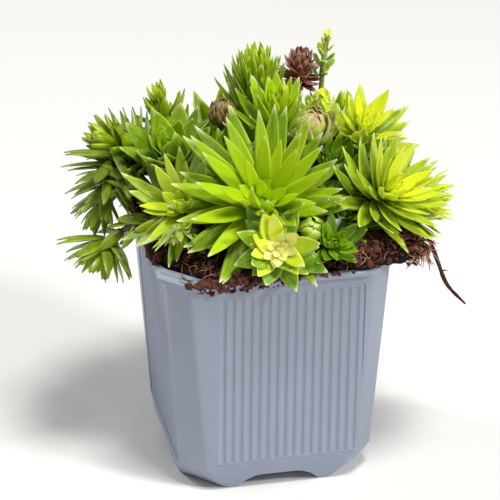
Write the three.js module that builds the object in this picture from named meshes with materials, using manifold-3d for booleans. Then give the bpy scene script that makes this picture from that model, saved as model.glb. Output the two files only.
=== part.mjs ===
// Hens and chicks (Sempervivum) growing in a square 9 cm nursery pot.
// Units are millimetres and +Z is up. The pot stands on its four feet at z = 0, and the origin is
// under the middle of the whole plant's box.
import * as THREE from "three";
import { mergeVertices } from "three/addons/utils/BufferGeometryUtils.js";
import Module from "manifold-3d";

const wasm = await Module();
wasm.setup();

const gap = 0.35; // clear space kept between two pieces that would otherwise touch
const goldenAngle = 137.508; // degrees from one leaf of a rosette to the next

const pot = {
  height: 96,
  rimHalf: 47, // half the width over the rim
  rimCut: 12, // how far the rim's corners are cut back along each side
  rimThick: 2.4,
  mouthCut: 17, // corner cut of the opening inside the rim
  wallTopHalf: 44.4,
  wallLowHalf: 38.8,
  wallLow: 10.5, // where the wall turns in to the feet
  wallCut: 8,
  wall: 1.4,
  footHalf: 36.2,
  footCut: 12,
  floorTop: 7.5,
  grooves: 14, // on each face, between its ribs
  groovePitch: 3.9,
  grooveWidth: 1.7,
  grooveDepth: 0.7,
  grooveLow: 12,
  grooveHigh: 88,
  archHigh: 5.5, // the arched gap between two feet
  archTopHalf: 12,
  archLowHalf: 17,
  drainRadius: 3.2,
  drainOffset: 18,
};

const soil = {
  edge: 98, // height of the surface at the pot's edge
  crown: 3, // how much higher the middle is
  heap: { x: 40.5, y: -30.5, high: 7, wide: 17 }, // the heap at the front right corner
  spills: [
    // how far the soil reaches out over the rim, towards which compass angle and how many degrees wide
    { far: 20, toward: -34, wide: 23 },
    { far: 4, toward: 203, wide: 24 },
  ],
  bump: 0.9,
  around: 32,
};

// Leaf outlines from the root to the tip, both of which are points: [share of the length, share of
// the width, share of the thickness] for each section between them.
const forms = {
  full: [[0.22, 0.74, 1], [0.52, 1, 1], [0.8, 0.66, 0.7]],
  lance: [[0.28, 0.82, 1], [0.64, 0.92, 0.85]],
  blunt: [[0.3, 0.78, 1], [0.8, 1, 0.85]],
  narrow: [[0.2, 0.9, 1], [0.66, 0.86, 0.85]],
};

// Colours of the leaves, buds, stems, pot and soil.
const colours = {
  leaf: 0x7fae1e,
  deep: 0x5c9018,
  bright: 0xa5cc22,
  pale: 0xc6d957,
  bud: 0xc9b476,
  dried: 0x7d5236,
  runner: 0x4a2a1a,
  pot: 0x8d96ab,
  soil: 0x46291b,
};

// Every head: its middle (at), the foot of its stem in the soil (root), how far its axis leans from
// upright and towards which compass angle, and its leaves from the inmost to the outermost. rise is
// the leaf's angle above the rosette's disc, curl how far it bends back towards the axis, and drop
// how far down the stem the leaves are spread.
const heads = [
  { name: "chick_front", at: [-1.5, -42.4, 106.8], root: [-3, -38.5], lean: 63, toward: -102,
    leaves: 13, reach: 19, width: 8.6, thick: 1.8, rise: [70, -6], curl: 10, drop: 2.5, heart: 2.4,
    form: "full", colour: "pale" },
  { name: "bud_front", at: [11.9, -38.9, 111.4], root: [12, -34.5], lean: 45, toward: -95, leaves: 7,
    reach: 8.8, width: 5.8, thick: 1.4, rise: [86, 50], curl: 76, drop: 2, heart: 2.6, form: "blunt",
    colour: "pale" },
  { name: "rosette_main", at: [-2.7, -22, 116.2], root: [0.5, -12.5], lean: 48, toward: -102,
    leaves: 31, reach: 38, width: 8, thick: 2.4, rise: [84, -4], curl: 14, drop: 5, heart: 4.2,
    form: "full", colour: "leaf" },
  { name: "rosette_front", at: [20.3, -39.2, 104.6], root: [18.5, -36.5], lean: 44, toward: -70,
    leaves: 9, reach: 16, width: 6.6, thick: 2, rise: [60, 0], curl: 8, drop: 1.2, heart: 2.3,
    form: "full", colour: "deep" },
  { name: "rosette_left_star", at: [-33.5, -14.4, 114], root: [-27.5, -13.5], lean: 52, toward: -118,
    leaves: 14, reach: 23, width: 7, thick: 1.9, rise: [76, 0], curl: 8, drop: 6, heart: 2.6,
    form: "lance", colour: "bright" },
  { name: "rosette_left_low", at: [-36.4, -22.9, 108.2], root: [-27.5, -24.5], lean: 128, toward: -112,
    leaves: 9, reach: 17, width: 4.4, thick: 1.6, rise: [80, 34], curl: -10, drop: 2, heart: 2.2,
    form: "lance", colour: "pale" },
  { name: "rosette_left_broad", at: [-34, 5.2, 127.7], root: [-25.5, 4.5], lean: 24, toward: -112,
    leaves: 13, reach: 26, width: 12, thick: 2.4, rise: [80, 18], curl: 16, drop: 10, heart: 3.4,
    form: "lance", colour: "leaf" },
  { name: "shoot_left_fan", at: [-55.4, 20, 128.2], root: [-31.5, 17.5], lean: 56, toward: 165,
    leaves: 18, reach: 21, width: 5.8, thick: 1.7, rise: [78, 6], curl: 10, drop: 16, heart: 2.2,
    form: "narrow", colour: "leaf" },
  { name: "shoot_left_trail", at: [-62.2, 11.2, 102.3], root: [-35.5, -1.5], lean: 162, toward: -165,
    leaves: 22, reach: 19, width: 4.2, thick: 1.5, rise: [72, 2], curl: 10, drop: 26, heart: 1.8,
    form: "narrow", colour: "deep" },
  { name: "shoot_left_hang", at: [-62.2, 2.5, 89.8], root: [-34.5, -12.5], lean: 146, toward: -150,
    leaves: 14, reach: 19.5, width: 5.6, thick: 1.7, rise: [80, 16], curl: 10, drop: 5, heart: 2,
    form: "narrow", colour: "leaf" },
  { name: "head_dried_front", at: [-11.3, 14.7, 140], root: [-10.5, 12.5], lean: 8, toward: -90,
    leaves: 12, reach: 8.6, width: 4.2, thick: 1.3, rise: [84, 36], curl: 62, drop: 6, heart: 3.6,
    form: "blunt", colour: "dried" },
  { name: "tuft_back", at: [6.2, 33.5, 147], root: [6.5, 28.5], lean: 6, toward: -100, leaves: 23,
    reach: 24, width: 4, thick: 1.7, rise: [88, 48], curl: 16, drop: 24, heart: 3.6, form: "narrow",
    colour: "leaf" },
  { name: "rosette_middle", at: [8.5, 8.5, 141], root: [6.5, 6.5], lean: 10, toward: -98, leaves: 18,
    reach: 29, width: 7.8, thick: 2.2, rise: [84, 14], curl: 12, drop: 22, heart: 3.2, form: "lance",
    colour: "leaf" },
  { name: "bud_pink", at: [20.3, -1.7, 137], root: [17.5, -0.5], lean: 28, toward: -80, leaves: 11,
    reach: 15, width: 9, thick: 1.8, rise: [84, 34], curl: 60, drop: 6, heart: 4.4, form: "blunt",
    colour: "bud" },
  { name: "rosette_right_yellow", at: [42, -0.7, 134.5], root: [33.5, 0.5], lean: 28, toward: -72,
    leaves: 20, reach: 25, width: 7.4, thick: 2, rise: [80, -4], curl: 10, drop: 20, heart: 2.8,
    form: "lance", colour: "bright" },
  { name: "rosette_right", at: [45.7, -26, 118.6], root: [32.5, -19.5], lean: 46, toward: -50,
    leaves: 24, reach: 28, width: 6.4, thick: 2, rise: [80, -4], curl: 12, drop: 12, heart: 3,
    form: "lance", colour: "bright" },
  { name: "rosette_right_outer", at: [61.1, -18.1, 110], root: [37, -9.5], lean: 80, toward: -18,
    leaves: 16, reach: 21, width: 5.6, thick: 1.8, rise: [78, 6], curl: 14, drop: 10, heart: 2.4,
    form: "lance", colour: "bright" },
  { name: "rosette_low_right", at: [26.1, -25.4, 109.5], root: [21.5, -21.5], lean: 46, toward: -62,
    leaves: 15, reach: 21, width: 7, thick: 1.9, rise: [80, -4], curl: 10, drop: 3, heart: 2.6,
    form: "lance", colour: "deep" },
  { name: "rosette_shade", at: [30.1, -9.4, 121.7], root: [23.5, -6.5], lean: 30, toward: -75,
    leaves: 12, reach: 24, width: 8, thick: 2, rise: [80, 2], curl: 10, drop: 12, heart: 2.8,
    form: "lance", colour: "deep" },
  { name: "rosette_shade_left", at: [-22.6, -4.4, 117], root: [-18.5, -8.5], lean: 34, toward: -112,
    leaves: 11, reach: 23, width: 7.6, thick: 2, rise: [80, 4], curl: 10, drop: 8, heart: 2.6,
    form: "lance", colour: "deep" },
  { name: "rosette_small", at: [29.3, 18.3, 137], root: [25.5, 14.5], lean: 18, toward: -70, leaves: 14,
    reach: 13.5, width: 5.4, thick: 1.7, rise: [80, 2], curl: 12, drop: 18, heart: 2.2, form: "blunt",
    colour: "bright" },
  { name: "shoot_pale", at: [34.3, 31.6, 160], root: [30.5, 28.5], lean: 10, toward: -60, leaves: 7,
    reach: 7, width: 3.4, thick: 1.3, rise: [70, 30], curl: 10, drop: 18, heart: 1.1, form: "blunt",
    colour: "pale" },
  { name: "head_dried_back", at: [25, 36.3, 149], root: [19.5, 32.5], lean: 12, toward: -70, leaves: 14,
    reach: 9.5, width: 3.4, thick: 1.2, rise: [84, -10], curl: 20, drop: 10, heart: 3.6, form: "narrow",
    colour: "dried" },
  { name: "rosette_left_back", at: [-32.5, 33.1, 137], root: [-26.5, 28.5], lean: 16, toward: 175,
    leaves: 15, reach: 18, width: 4.8, thick: 1.8, rise: [84, 10], curl: 14, drop: 22, heart: 2.6,
    form: "narrow", colour: "leaf" },
  { name: "rosette_dark", at: [-14.5, 5.5, 125], root: [-12.8, 1.5], lean: 5, toward: -110, leaves: 13,
    reach: 22, width: 7.4, thick: 2, rise: [84, 10], curl: 10, drop: 14, heart: 3.1, form: "lance",
    colour: "deep" },
  { name: "rosette_back_left", at: [-42, 41, 114], root: [-33, 32], lean: 58, toward: 138, leaves: 11,
    reach: 20, width: 6, thick: 1.9, rise: [80, -6], curl: 12, drop: 8, heart: 2.8, form: "lance",
    colour: "leaf" },
  { name: "rosette_back", at: [-8, 49, 117], root: [-8, 37.5], lean: 50, toward: 96, leaves: 13,
    reach: 25, width: 7.6, thick: 2.1, rise: [82, -8], curl: 14, drop: 12, heart: 3.4, form: "full",
    colour: "leaf" },
  { name: "chick_back", at: [21, 52, 110], root: [15, 38], lean: 66, toward: 72, leaves: 11, reach: 16,
    width: 6, thick: 1.8, rise: [80, 0], curl: 10, drop: 5, heart: 2.6, form: "blunt",
    colour: "bright" },
  { name: "rosette_back_right", at: [43, 37, 119], root: [35, 30], lean: 50, toward: 42, leaves: 12,
    reach: 22, width: 6.6, thick: 2, rise: [82, -6], curl: 12, drop: 10, heart: 3, form: "lance",
    colour: "leaf" },
  { name: "rosette_right_back", at: [53, 12, 118], root: [38, 9], lean: 58, toward: 8, leaves: 11,
    reach: 20, width: 5.6, thick: 1.9, rise: [80, -4], curl: 12, drop: 10, heart: 2.8, form: "lance",
    colour: "bright" },
];

const stem = {
  thick: 0.62, // share of the heart
  least: 1.1,
  sides: 5,
  depth: 12, // below the soil's surface
  collar: 2.5, // how far it stands straight above the surface
};

// A leaf that would cross a neighbour is lifted towards its own axis, bent away from it or grown
// shorter: the first of these [degrees of lift, share of the length] that clears it is taken.
const bends = [1, 0.86, 0.72, 0.56].flatMap((share) =>
  [0, 8, -8, 16, 24, -16, 34, 44].map((lift) => [lift, share]),
);

const runner = {
  thick: 0.9,
  sides: 5,
  steps: 12,
  path: [
    [39.5, -26.5, 97],
    [51.5, -27, 105],
    [60.5, -27.7, 99.5],
    [64.7, -30, 89],
    [68.3, -32.5, 79],
    [75.5, -34.5, 70.5],
  ],
};

const toRadians = THREE.MathUtils.degToRad;
const toDegrees = THREE.MathUtils.radToDeg;

// A closed geometry as a solid.
function solidOf(geometry) {
  geometry.deleteAttribute("normal");
  geometry.deleteAttribute("uv");
  const merged = mergeVertices(geometry, 1e-4);
  return new wasm.Manifold(
    new wasm.Mesh({
      numProp: 3,
      vertProperties: merged.attributes.position.array,
      triVerts: new Uint32Array(merged.index.array),
    }),
  );
}

// A geometry with each vertex moved to place(vertex).
function reshape(geometry, place) {
  const points = geometry.attributes.position;
  const point = new THREE.Vector3();
  for (let i = 0; i < points.count; i++) {
    point.fromBufferAttribute(points, i);
    point.copy(place(point));
    points.setXYZ(i, point.x, point.y, point.z);
  }
  return geometry;
}

// A solid of stacked outlines. ringAt(row, k) is corner k of a row's outline, counted
// counter-clockwise from above, and middleAt(row) closes the two ends.
function stack(corners, rows, ringAt, middleAt) {
  const drum = new THREE.CylinderGeometry(1, 1, 1, corners, rows - 1);
  return solidOf(
    reshape(drum, (p) => {
      const row = Math.round((p.y + 0.5) * (rows - 1));
      if (Math.hypot(p.x, p.z) < 0.5) return middleAt(row);
      const turn = Math.atan2(p.x, p.z) / (2 * Math.PI);
      return ringAt(row, Math.round((turn + 1) * corners) % corners);
    }),
  );
}

// A tube of a few sides through a row of points, each with the direction of the tube there.
function tube(points, directions, radius, sides) {
  const level = new THREE.Vector3(0, 1, 0);
  const frames = points.map((at, i) => {
    const across = new THREE.Vector3().crossVectors(level, directions[i]).normalize();
    const back = new THREE.Vector3().crossVectors(directions[i], across).normalize();
    return { at, across, back };
  });
  const corner = (row, k) => {
    const angle = (k / sides) * 2 * Math.PI;
    const { at, across, back } = frames[row];
    return at
      .clone()
      .addScaledVector(across, radius * Math.cos(angle))
      .addScaledVector(back, radius * Math.sin(angle));
  };
  return stack(sides, points.length, corner, (row) => points[row]);
}

// The same number from -1 to 1 for the same leaf each time, in no visible order.
const wobble = (seed, n) => (((seed * 131 + n * 71 + 17) * 53) % 97) / 48 - 1;

// ---- Pot ----

// Corner k of a square outline with cut corners.
function cutCorner(k, half, cut) {
  const face = (Math.floor(k / 2) * Math.PI) / 2;
  const along = (k % 2 ? 1 : -1) * (half - cut);
  return new THREE.Vector2(
    half * Math.cos(face) - along * Math.sin(face),
    half * Math.sin(face) + along * Math.cos(face),
  );
}

// A solid of cut-cornered squares, given as rows of [height, half width, corner cut].
function squareStack(rows) {
  return stack(
    8,
    rows.length,
    (row, k) => {
      const [z, half, cut] = rows[row];
      const corner = cutCorner(k, half, cut);
      return new THREE.Vector3(corner.x, corner.y, z);
    },
    (row) => new THREE.Vector3(0, 0, rows[row][0]),
  );
}

// Half the pot's width outside at a height.
function wallHalf(z) {
  const share = (z - pot.wallLow) / (pot.height - pot.rimThick - pot.wallLow);
  return THREE.MathUtils.lerp(pot.wallLowHalf, pot.wallTopHalf, share);
}

// The opening from the floor up: [height, half width, corner cut]. Its corners close in below the rim.
const mouth = [
  [pot.floorTop, pot.footHalf - pot.wall - 1, pot.footCut],
  [pot.wallLow, wallHalf(pot.wallLow) - pot.wall, pot.wallCut],
  [pot.grooveHigh - 4, wallHalf(pot.grooveHigh - 4) - pot.wall, pot.wallCut],
  [pot.grooveHigh, wallHalf(pot.grooveHigh) - pot.wall, pot.mouthCut],
  [pot.height + 1, wallHalf(pot.height + 1) - pot.wall, pot.mouthCut],
];

// One V-shaped groove of a face, a little off its middle, that follows the wall's slope.
function makeGroove(face, along) {
  const bar = new THREE.CylinderGeometry(1, 1, 1, 3, 1);
  return solidOf(
    reshape(bar, (p) => {
      const z = p.y < 0 ? pot.grooveLow : pot.grooveHigh;
      const side = along + (p.x / Math.sin((2 * Math.PI) / 3)) * pot.grooveWidth;
      const out = wallHalf(z) + pot.grooveDepth * (p.z > 0.5 ? -1 : 1);
      return new THREE.Vector3(
        out * Math.cos(face) + side * Math.sin(face),
        out * Math.sin(face) - side * Math.cos(face),
        z,
      );
    }),
  );
}

function makePot() {
  const under = pot.height - pot.rimThick;
  const outside = squareStack([
    [0, pot.footHalf, pot.footCut],
    [pot.wallLow * 0.4, pot.footHalf + 1.6, pot.footCut - 2.5],
    [pot.wallLow, pot.wallLowHalf, pot.wallCut],
    [under, pot.wallTopHalf, pot.wallCut],
    [under, pot.rimHalf, pot.rimCut],
    [pot.height, pot.rimHalf, pot.rimCut],
  ]);
  const inside = squareStack(mouth);

  const arch = new THREE.Shape();
  arch.moveTo(-pot.archLowHalf, -1);
  arch.lineTo(pot.archLowHalf, -1);
  arch.lineTo(pot.archLowHalf - 1, pot.archHigh * 0.35);
  arch.lineTo(pot.archTopHalf, pot.archHigh);
  arch.lineTo(-pot.archTopHalf, pot.archHigh);
  arch.lineTo(-pot.archLowHalf + 1, pot.archHigh * 0.35);
  const tunnel = new THREE.ExtrudeGeometry(arch, { depth: 4 * pot.rimHalf, bevelEnabled: false });
  tunnel.translate(0, 0, -2 * pot.rimHalf).rotateX(Math.PI / 2);
  const across = tunnel.clone().rotateZ(Math.PI / 2);

  let body = outside.subtract(inside).subtract(solidOf(tunnel)).subtract(solidOf(across));
  const spots = [[0, 0], [1, 0], [-1, 0], [0, 1], [0, -1]];
  for (const [x, y] of spots) {
    const drain = new THREE.CylinderGeometry(pot.drainRadius, pot.drainRadius, 3 * pot.floorTop, 10);
    drain.rotateX(Math.PI / 2).translate(x * pot.drainOffset, y * pot.drainOffset, 0);
    body = body.subtract(solidOf(drain));
  }
  for (let face = 0; face < 4; face++) {
    for (let i = 0; i < pot.grooves; i++) {
      const along = (i - (pot.grooves - 1) / 2) * pot.groovePitch;
      body = body.subtract(makeGroove((face * Math.PI) / 2, along));
    }
  }
  return body;
}

// ---- Soil ----

// How far a level of the opening reaches from the middle in a direction, less a gap.
function mouthReach(angle, level) {
  const [, whole, cut] = mouth[level];
  const half = whole - gap;
  const c = Math.abs(Math.cos(angle));
  const s = Math.abs(Math.sin(angle));
  return Math.min(half / c, half / s, (2 * half - cut) / (c + s));
}

// The height of the soil's surface.
function soilTop(x, y) {
  const { heap } = soil;
  const crown = soil.crown * Math.max(0, 1 - (x * x + y * y) / 2200);
  const heaped = heap.high * Math.exp(-((x - heap.x) ** 2 + (y - heap.y) ** 2) / (2 * heap.wide ** 2));
  const bumps = soil.bump * (Math.sin(x * 0.41 + 1) * Math.cos(y * 0.37) + 0.6 * Math.sin(x * 0.9 - y * 0.7));
  return soil.edge + crown + heaped + bumps;
}

function makeSoil() {
  // [level of the opening, height, share of the reach, share of the spill]; rows with no height
  // follow the surface
  const top = mouth.length - 1;
  const rows = [
    [0, pot.floorTop + gap, 1, 0],
    [1, pot.wallLow + gap, 1, 0],
    [2, pot.grooveHigh - 4, 1, 0],
    [3, pot.grooveHigh, 1, 0],
    [top, pot.height + gap, 1, 0],
    [top, pot.height + gap, 1, 1],
    [top, null, 0.93, 0.8],
    [top, null, 0.72, 0.3],
    [top, null, 0.42, 0],
  ];
  const ringAt = (row, k) => {
    const angle = (k / soil.around) * 2 * Math.PI;
    const [level, height, share, spillShare] = rows[row];
    const spill = soil.spills.reduce((sum, { far, toward, wide }) => {
      const away = THREE.MathUtils.euclideanModulo(toDegrees(angle) - toward + 180, 360) - 180;
      return sum + far * Math.exp(-((away / wide) ** 2));
    }, 0);
    const reach = mouthReach(angle, level) * share + (spill + 1) * spillShare;
    const x = reach * Math.cos(angle);
    const y = reach * Math.sin(angle);
    return new THREE.Vector3(x, y, height ?? soilTop(x, y));
  };
  return stack(soil.around, rows.length, ringAt, (row) =>
    new THREE.Vector3(0, 0, row ? soilTop(0, 0) : rows[0][1]),
  );
}

// ---- Heads ----

// The frame of a head: local Z is the rosette's axis.
function headFrame(head) {
  const turn = new THREE.Matrix4().makeRotationZ(toRadians(head.toward));
  const tip = new THREE.Matrix4().makeRotationY(toRadians(head.lean));
  return turn.multiply(tip).setPosition(...head.at);
}

const stemRadius = (head) => Math.max(stem.least, stem.thick * head.heart);

// The lowest stretch of a head's stem, which stands upright in the soil.
function makeRoot(head, extra) {
  const [x, y] = head.root;
  const surface = soilTop(x, y);
  const ends = [surface - stem.depth - extra, surface + stem.collar].map((z) => new THREE.Vector3(x, y, z));
  const up = new THREE.Vector3(0, 0, 1);
  return tube(ends, [up, up], stemRadius(head) + extra, stem.sides);
}

// The whole stem: upright in the soil, then bent over to the head's middle.
function makeStem(head) {
  const up = new THREE.Vector3(0, 0, 1);
  const axis = up.clone().transformDirection(headFrame(head));
  const top = new THREE.Vector3(...head.at);
  const surface = soilTop(...head.root);
  const foot = new THREE.Vector3(...head.root, surface - stem.depth);
  const collar = new THREE.Vector3(...head.root, surface + stem.collar);
  const free = top.distanceTo(collar);
  const knee = collar.clone().addScaledVector(up, 0.4 * free);
  const neck = top.clone().addScaledVector(axis, -Math.max(head.drop + 1, 0.35 * free));
  const curve = new THREE.CubicBezierCurve3(collar, knee, neck, top);
  const shares = [0, 0.45, 0.75, 1];
  return tube(
    [foot, ...shares.map((t) => curve.getPoint(t))],
    [up, ...shares.map((t) => curve.getTangent(t))],
    stemRadius(head),
    stem.sides,
  );
}

// The swollen top of the stem, which the leaves grow from. It is as long as they are spread.
function makeHeart(head) {
  // [height, radius] from the top down
  const rows = [
    [head.heart, 0],
    [0.3 * head.heart, head.heart],
    [-head.drop, 0.9 * head.heart],
    [-head.drop - head.heart, 0],
  ];
  const spans = rows.length - 1;
  const ball = new THREE.SphereGeometry(1, 5, spans);
  const frame = headFrame(head);
  return solidOf(
    reshape(ball, (p) => {
      const [height, radius] = rows[Math.round((Math.acos(p.y) / Math.PI) * spans)];
      const angle = Math.atan2(p.x, p.z);
      const point = new THREE.Vector3(radius * Math.cos(angle), radius * Math.sin(angle), height);
      return point.applyMatrix4(frame);
    }),
  );
}

// Leaf i of a head, from the inmost to the outermost, with one of the bends.
function leafOf(head, seed, i, [lift, share]) {
  const outward = i / (head.leaves - 1);
  const rise = THREE.MathUtils.lerp(head.rise[0], head.rise[1], outward ** 0.8);
  return {
    turn: toRadians(i * goldenAngle + seed * 40 + 7 * wobble(seed, i)),
    rise: toRadians(rise + 5 * wobble(seed + 3, i) + lift),
    curl: toRadians(head.curl),
    length: head.reach * (0.42 + 0.58 * outward ** 0.7) * (1 + 0.07 * wobble(seed + 5, i)) * share,
    halfWidth: (head.width / 2) * (0.55 + 0.45 * outward ** 0.6),
    thick: head.thick * (0.7 + 0.3 * outward),
    start: head.heart * 0.62,
    level: head.heart * 0.4 * (1 - outward) - head.drop * outward,
  };
}

// A point at share t of a leaf's length, out to the side and above or below its middle line.
function leafPoint(leaf, t, side, above) {
  const heading = leaf.rise + leaf.curl * t;
  const radius = leaf.start + (leaf.length * (Math.sin(heading) - Math.sin(leaf.rise))) / leaf.curl;
  const height = leaf.level + (leaf.length * (Math.cos(leaf.rise) - Math.cos(heading))) / leaf.curl;
  const out = radius - above * Math.sin(heading);
  return new THREE.Vector3(
    out * Math.cos(leaf.turn) - side * Math.sin(leaf.turn),
    out * Math.sin(leaf.turn) + side * Math.cos(leaf.turn),
    height + above * Math.cos(heading),
  );
}

// A leaf with a flat face towards the axis and a keel behind it, grown all round by extra.
function makeLeaf(head, leaf, extra) {
  const form = forms[head.form];
  const spans = form.length + 1;
  const pod = new THREE.SphereGeometry(1, 3, spans);
  const frame = headFrame(head);
  const edge = Math.sin((2 * Math.PI) / 3); // where the two edges lie across the pod
  return solidOf(
    reshape(pod, (p) => {
      const fromTip = Math.round((Math.acos(p.y) / Math.PI) * spans);
      if (fromTip === 0) return leafPoint(leaf, 1 + extra / leaf.length, 0, 0).applyMatrix4(frame);
      if (fromTip === spans) return leafPoint(leaf, -extra / leaf.length, 0, 0).applyMatrix4(frame);
      const [t, width, thick] = form[form.length - fromTip];
      const radius = Math.hypot(p.x, p.z);
      const side = (p.z / radius / edge) * (leaf.halfWidth * width + extra);
      const above = extra + ((p.x / radius - 0.5) / 1.5) * (leaf.thick * thick + 2 * extra);
      return leafPoint(leaf, t, side, above).applyMatrix4(frame);
    }),
  );
}

const boxOf = (solid) => {
  const { min, max } = solid.boundingBox();
  return new THREE.Box3(new THREE.Vector3(...min), new THREE.Vector3(...max));
};

// A solid that leaves have to keep clear of, with its box.
const obstacle = (owner, solid) => ({ owner, solid, box: boxOf(solid) });

function clears(leaf, owner, obstacles) {
  const box = boxOf(leaf);
  return obstacles.every(
    (o) => o.owner === owner || !o.box.intersectsBox(box) || leaf.intersect(o.solid).isEmpty(),
  );
}

// A head's stem and heart with all the leaves that find room.
function makeHead(head, seed, obstacles) {
  let body = makeStem(head).add(makeHeart(head));
  for (let i = 0; i < head.leaves; i++) {
    const tries = bends.map((bend) => leafOf(head, seed, i, bend));
    const leaf = tries.find((t) => clears(makeLeaf(head, t, gap), head.name, obstacles));
    if (leaf) body = body.add(makeLeaf(head, leaf, 0));
  }
  // Leaves that meet at their roots can close off a tiny pocket, which is filled.
  return body.decompose().filter((shell) => shell.volume() > 0).reduce((a, b) => a.add(b));
}

function makeRunner(extra) {
  const curve = new THREE.CatmullRomCurve3(runner.path.map((p) => new THREE.Vector3(...p)));
  const shares = Array.from({ length: runner.steps + 1 }, (_, i) => i / runner.steps);
  return tube(
    shares.map((t) => curve.getPoint(t)),
    shares.map((t) => curve.getTangent(t)),
    runner.thick + extra,
    runner.sides,
  );
}

// ---- Assembly ----

const plant = new THREE.Group();

function addMesh(name, solid, colour, roughness) {
  const { vertProperties, triVerts } = solid.getMesh();
  const geometry = new THREE.BufferGeometry();
  geometry.setAttribute("position", new THREE.BufferAttribute(vertProperties, 3));
  geometry.setIndex(new THREE.BufferAttribute(triVerts, 1));
  const material = new THREE.MeshStandardMaterial({ color: colour, roughness, metalness: 0 });
  const mesh = new THREE.Mesh(geometry, material);
  mesh.name = name;
  plant.add(mesh);
}

const potBody = makePot();
const runnerBody = makeRunner(0);
let ground = makeSoil().subtract(makeRunner(gap));
for (const head of heads) ground = ground.subtract(makeRoot(head, gap));

const obstacles = [obstacle("pot", potBody), obstacle("soil", ground), obstacle("runner", runnerBody)];
for (const head of heads) {
  obstacles.push(obstacle(head.name, makeStem(head)), obstacle(head.name, makeHeart(head)));
}

addMesh("pot", potBody, colours.pot, 0.45);
addMesh("soil", ground, colours.soil, 0.95);
addMesh("runner", runnerBody, colours.runner, 0.8);
heads.forEach((head, seed) => {
  const body = makeHead(head, seed, obstacles);
  obstacles.push(obstacle(head.name, body));
  addMesh(head.name, body, colours[head.colour], 0.5);
});

// The origin lies under the middle of the whole box.
const middle = new THREE.Box3().setFromObject(plant).getCenter(new THREE.Vector3());
plant.position.set(-middle.x, -middle.y, 0);

export default plant;
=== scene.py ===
import math

import bmesh
import bpy
import numpy as np
from mathutils import Matrix, Vector, bvhtree, kdtree, noise


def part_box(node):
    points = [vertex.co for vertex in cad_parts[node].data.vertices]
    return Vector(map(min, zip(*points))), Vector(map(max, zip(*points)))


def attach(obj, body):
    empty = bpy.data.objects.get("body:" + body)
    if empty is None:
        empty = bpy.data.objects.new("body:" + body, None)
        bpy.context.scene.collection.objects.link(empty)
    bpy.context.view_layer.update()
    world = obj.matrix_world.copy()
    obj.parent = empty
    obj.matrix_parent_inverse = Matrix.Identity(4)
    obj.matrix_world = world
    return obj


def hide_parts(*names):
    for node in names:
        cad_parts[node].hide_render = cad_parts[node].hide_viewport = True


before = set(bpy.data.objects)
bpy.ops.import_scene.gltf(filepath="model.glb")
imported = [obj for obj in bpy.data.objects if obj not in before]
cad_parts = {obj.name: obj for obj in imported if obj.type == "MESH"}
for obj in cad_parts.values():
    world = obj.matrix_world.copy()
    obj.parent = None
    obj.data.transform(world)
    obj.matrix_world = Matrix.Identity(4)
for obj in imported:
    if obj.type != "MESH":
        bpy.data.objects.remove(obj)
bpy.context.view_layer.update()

print("frame loaded")

mm = 0.001
tiny = 1e-5  # places nearer than this count as the same
potLow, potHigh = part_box("pot")
potMiddle = np.array([(potLow.x + potHigh.x) / 2, (potLow.y + potHigh.y) / 2, 0.0])


def toScene(points):
    # millimetres from the pot's middle to metres in the scene
    return np.asarray(points, float) * mm + potMiddle


def selectNone():
    bpy.ops.object.select_all(action="DESELECT")


def selectOnly(piece):
    selectNone()
    piece.select_set(True)
    bpy.context.view_layer.objects.active = piece


def startEdit(piece):
    selectOnly(piece)
    bpy.ops.object.mode_set(mode="EDIT")


def endEdit(facesOut=False):
    if facesOut:
        bpy.ops.mesh.select_all(action="SELECT")
        bpy.ops.mesh.normals_make_consistent(inside=False)
    bpy.ops.object.mode_set(mode="OBJECT")


def pickFaces(piece, wanted):
    # selects the faces whose middle and normal pass the test
    bpy.ops.mesh.select_mode(type="FACE")
    bpy.ops.mesh.select_all(action="DESELECT")
    shape = bmesh.from_edit_mesh(piece.data)
    for face in shape.faces:
        face.select_set(bool(wanted(face.calc_center_median(), face.normal)))
    bmesh.update_edit_mesh(piece.data)


def pickEdges(piece, wanted):
    # selects the edges whose two ends pass the test
    bpy.ops.mesh.select_mode(type="EDGE")
    bpy.ops.mesh.select_all(action="DESELECT")
    shape = bmesh.from_edit_mesh(piece.data)
    for edge in shape.edges:
        edge.select_set(bool(wanted(edge.verts[0].co, edge.verts[1].co)))
    bmesh.update_edit_mesh(piece.data)


def applyModifier(piece, kind, **settings):
    selectOnly(piece)
    modifier = piece.modifiers.new(kind.title(), kind)
    for name, value in settings.items():
        setattr(modifier, name, value)
    bpy.ops.object.modifier_apply(modifier=modifier.name)


def joinPieces(pieces, name):
    selectNone()
    for piece in pieces:
        piece.select_set(True)
    bpy.context.view_layer.objects.active = pieces[0]
    if len(pieces) > 1:
        bpy.ops.object.join()
    pieces[0].name = pieces[0].data.name = name
    return pieces[0]


def placeInMesh(piece):
    # moves the object's place and turn into its mesh
    selectOnly(piece)
    bpy.ops.object.transform_apply(location=True, rotation=True, scale=True)


def addToScene(piece):
    bpy.context.scene.collection.objects.link(piece)
    return piece


def copyOf(piece, move=None):
    # a copy with its own mesh, moved or turned where that is asked
    copy = piece.copy()
    copy.data = piece.data.copy()
    if move is not None:
        copy.data.transform(move)
    return addToScene(copy)


class Blank:
    # a shape that is modelled once and then copied: its points and its faces
    def __init__(self, piece):
        mesh = piece.data
        self.points = np.array([v.co for v in mesh.vertices])
        self.faces = [tuple(p.vertices) for p in mesh.polygons]
        bpy.data.objects.remove(piece)


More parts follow.
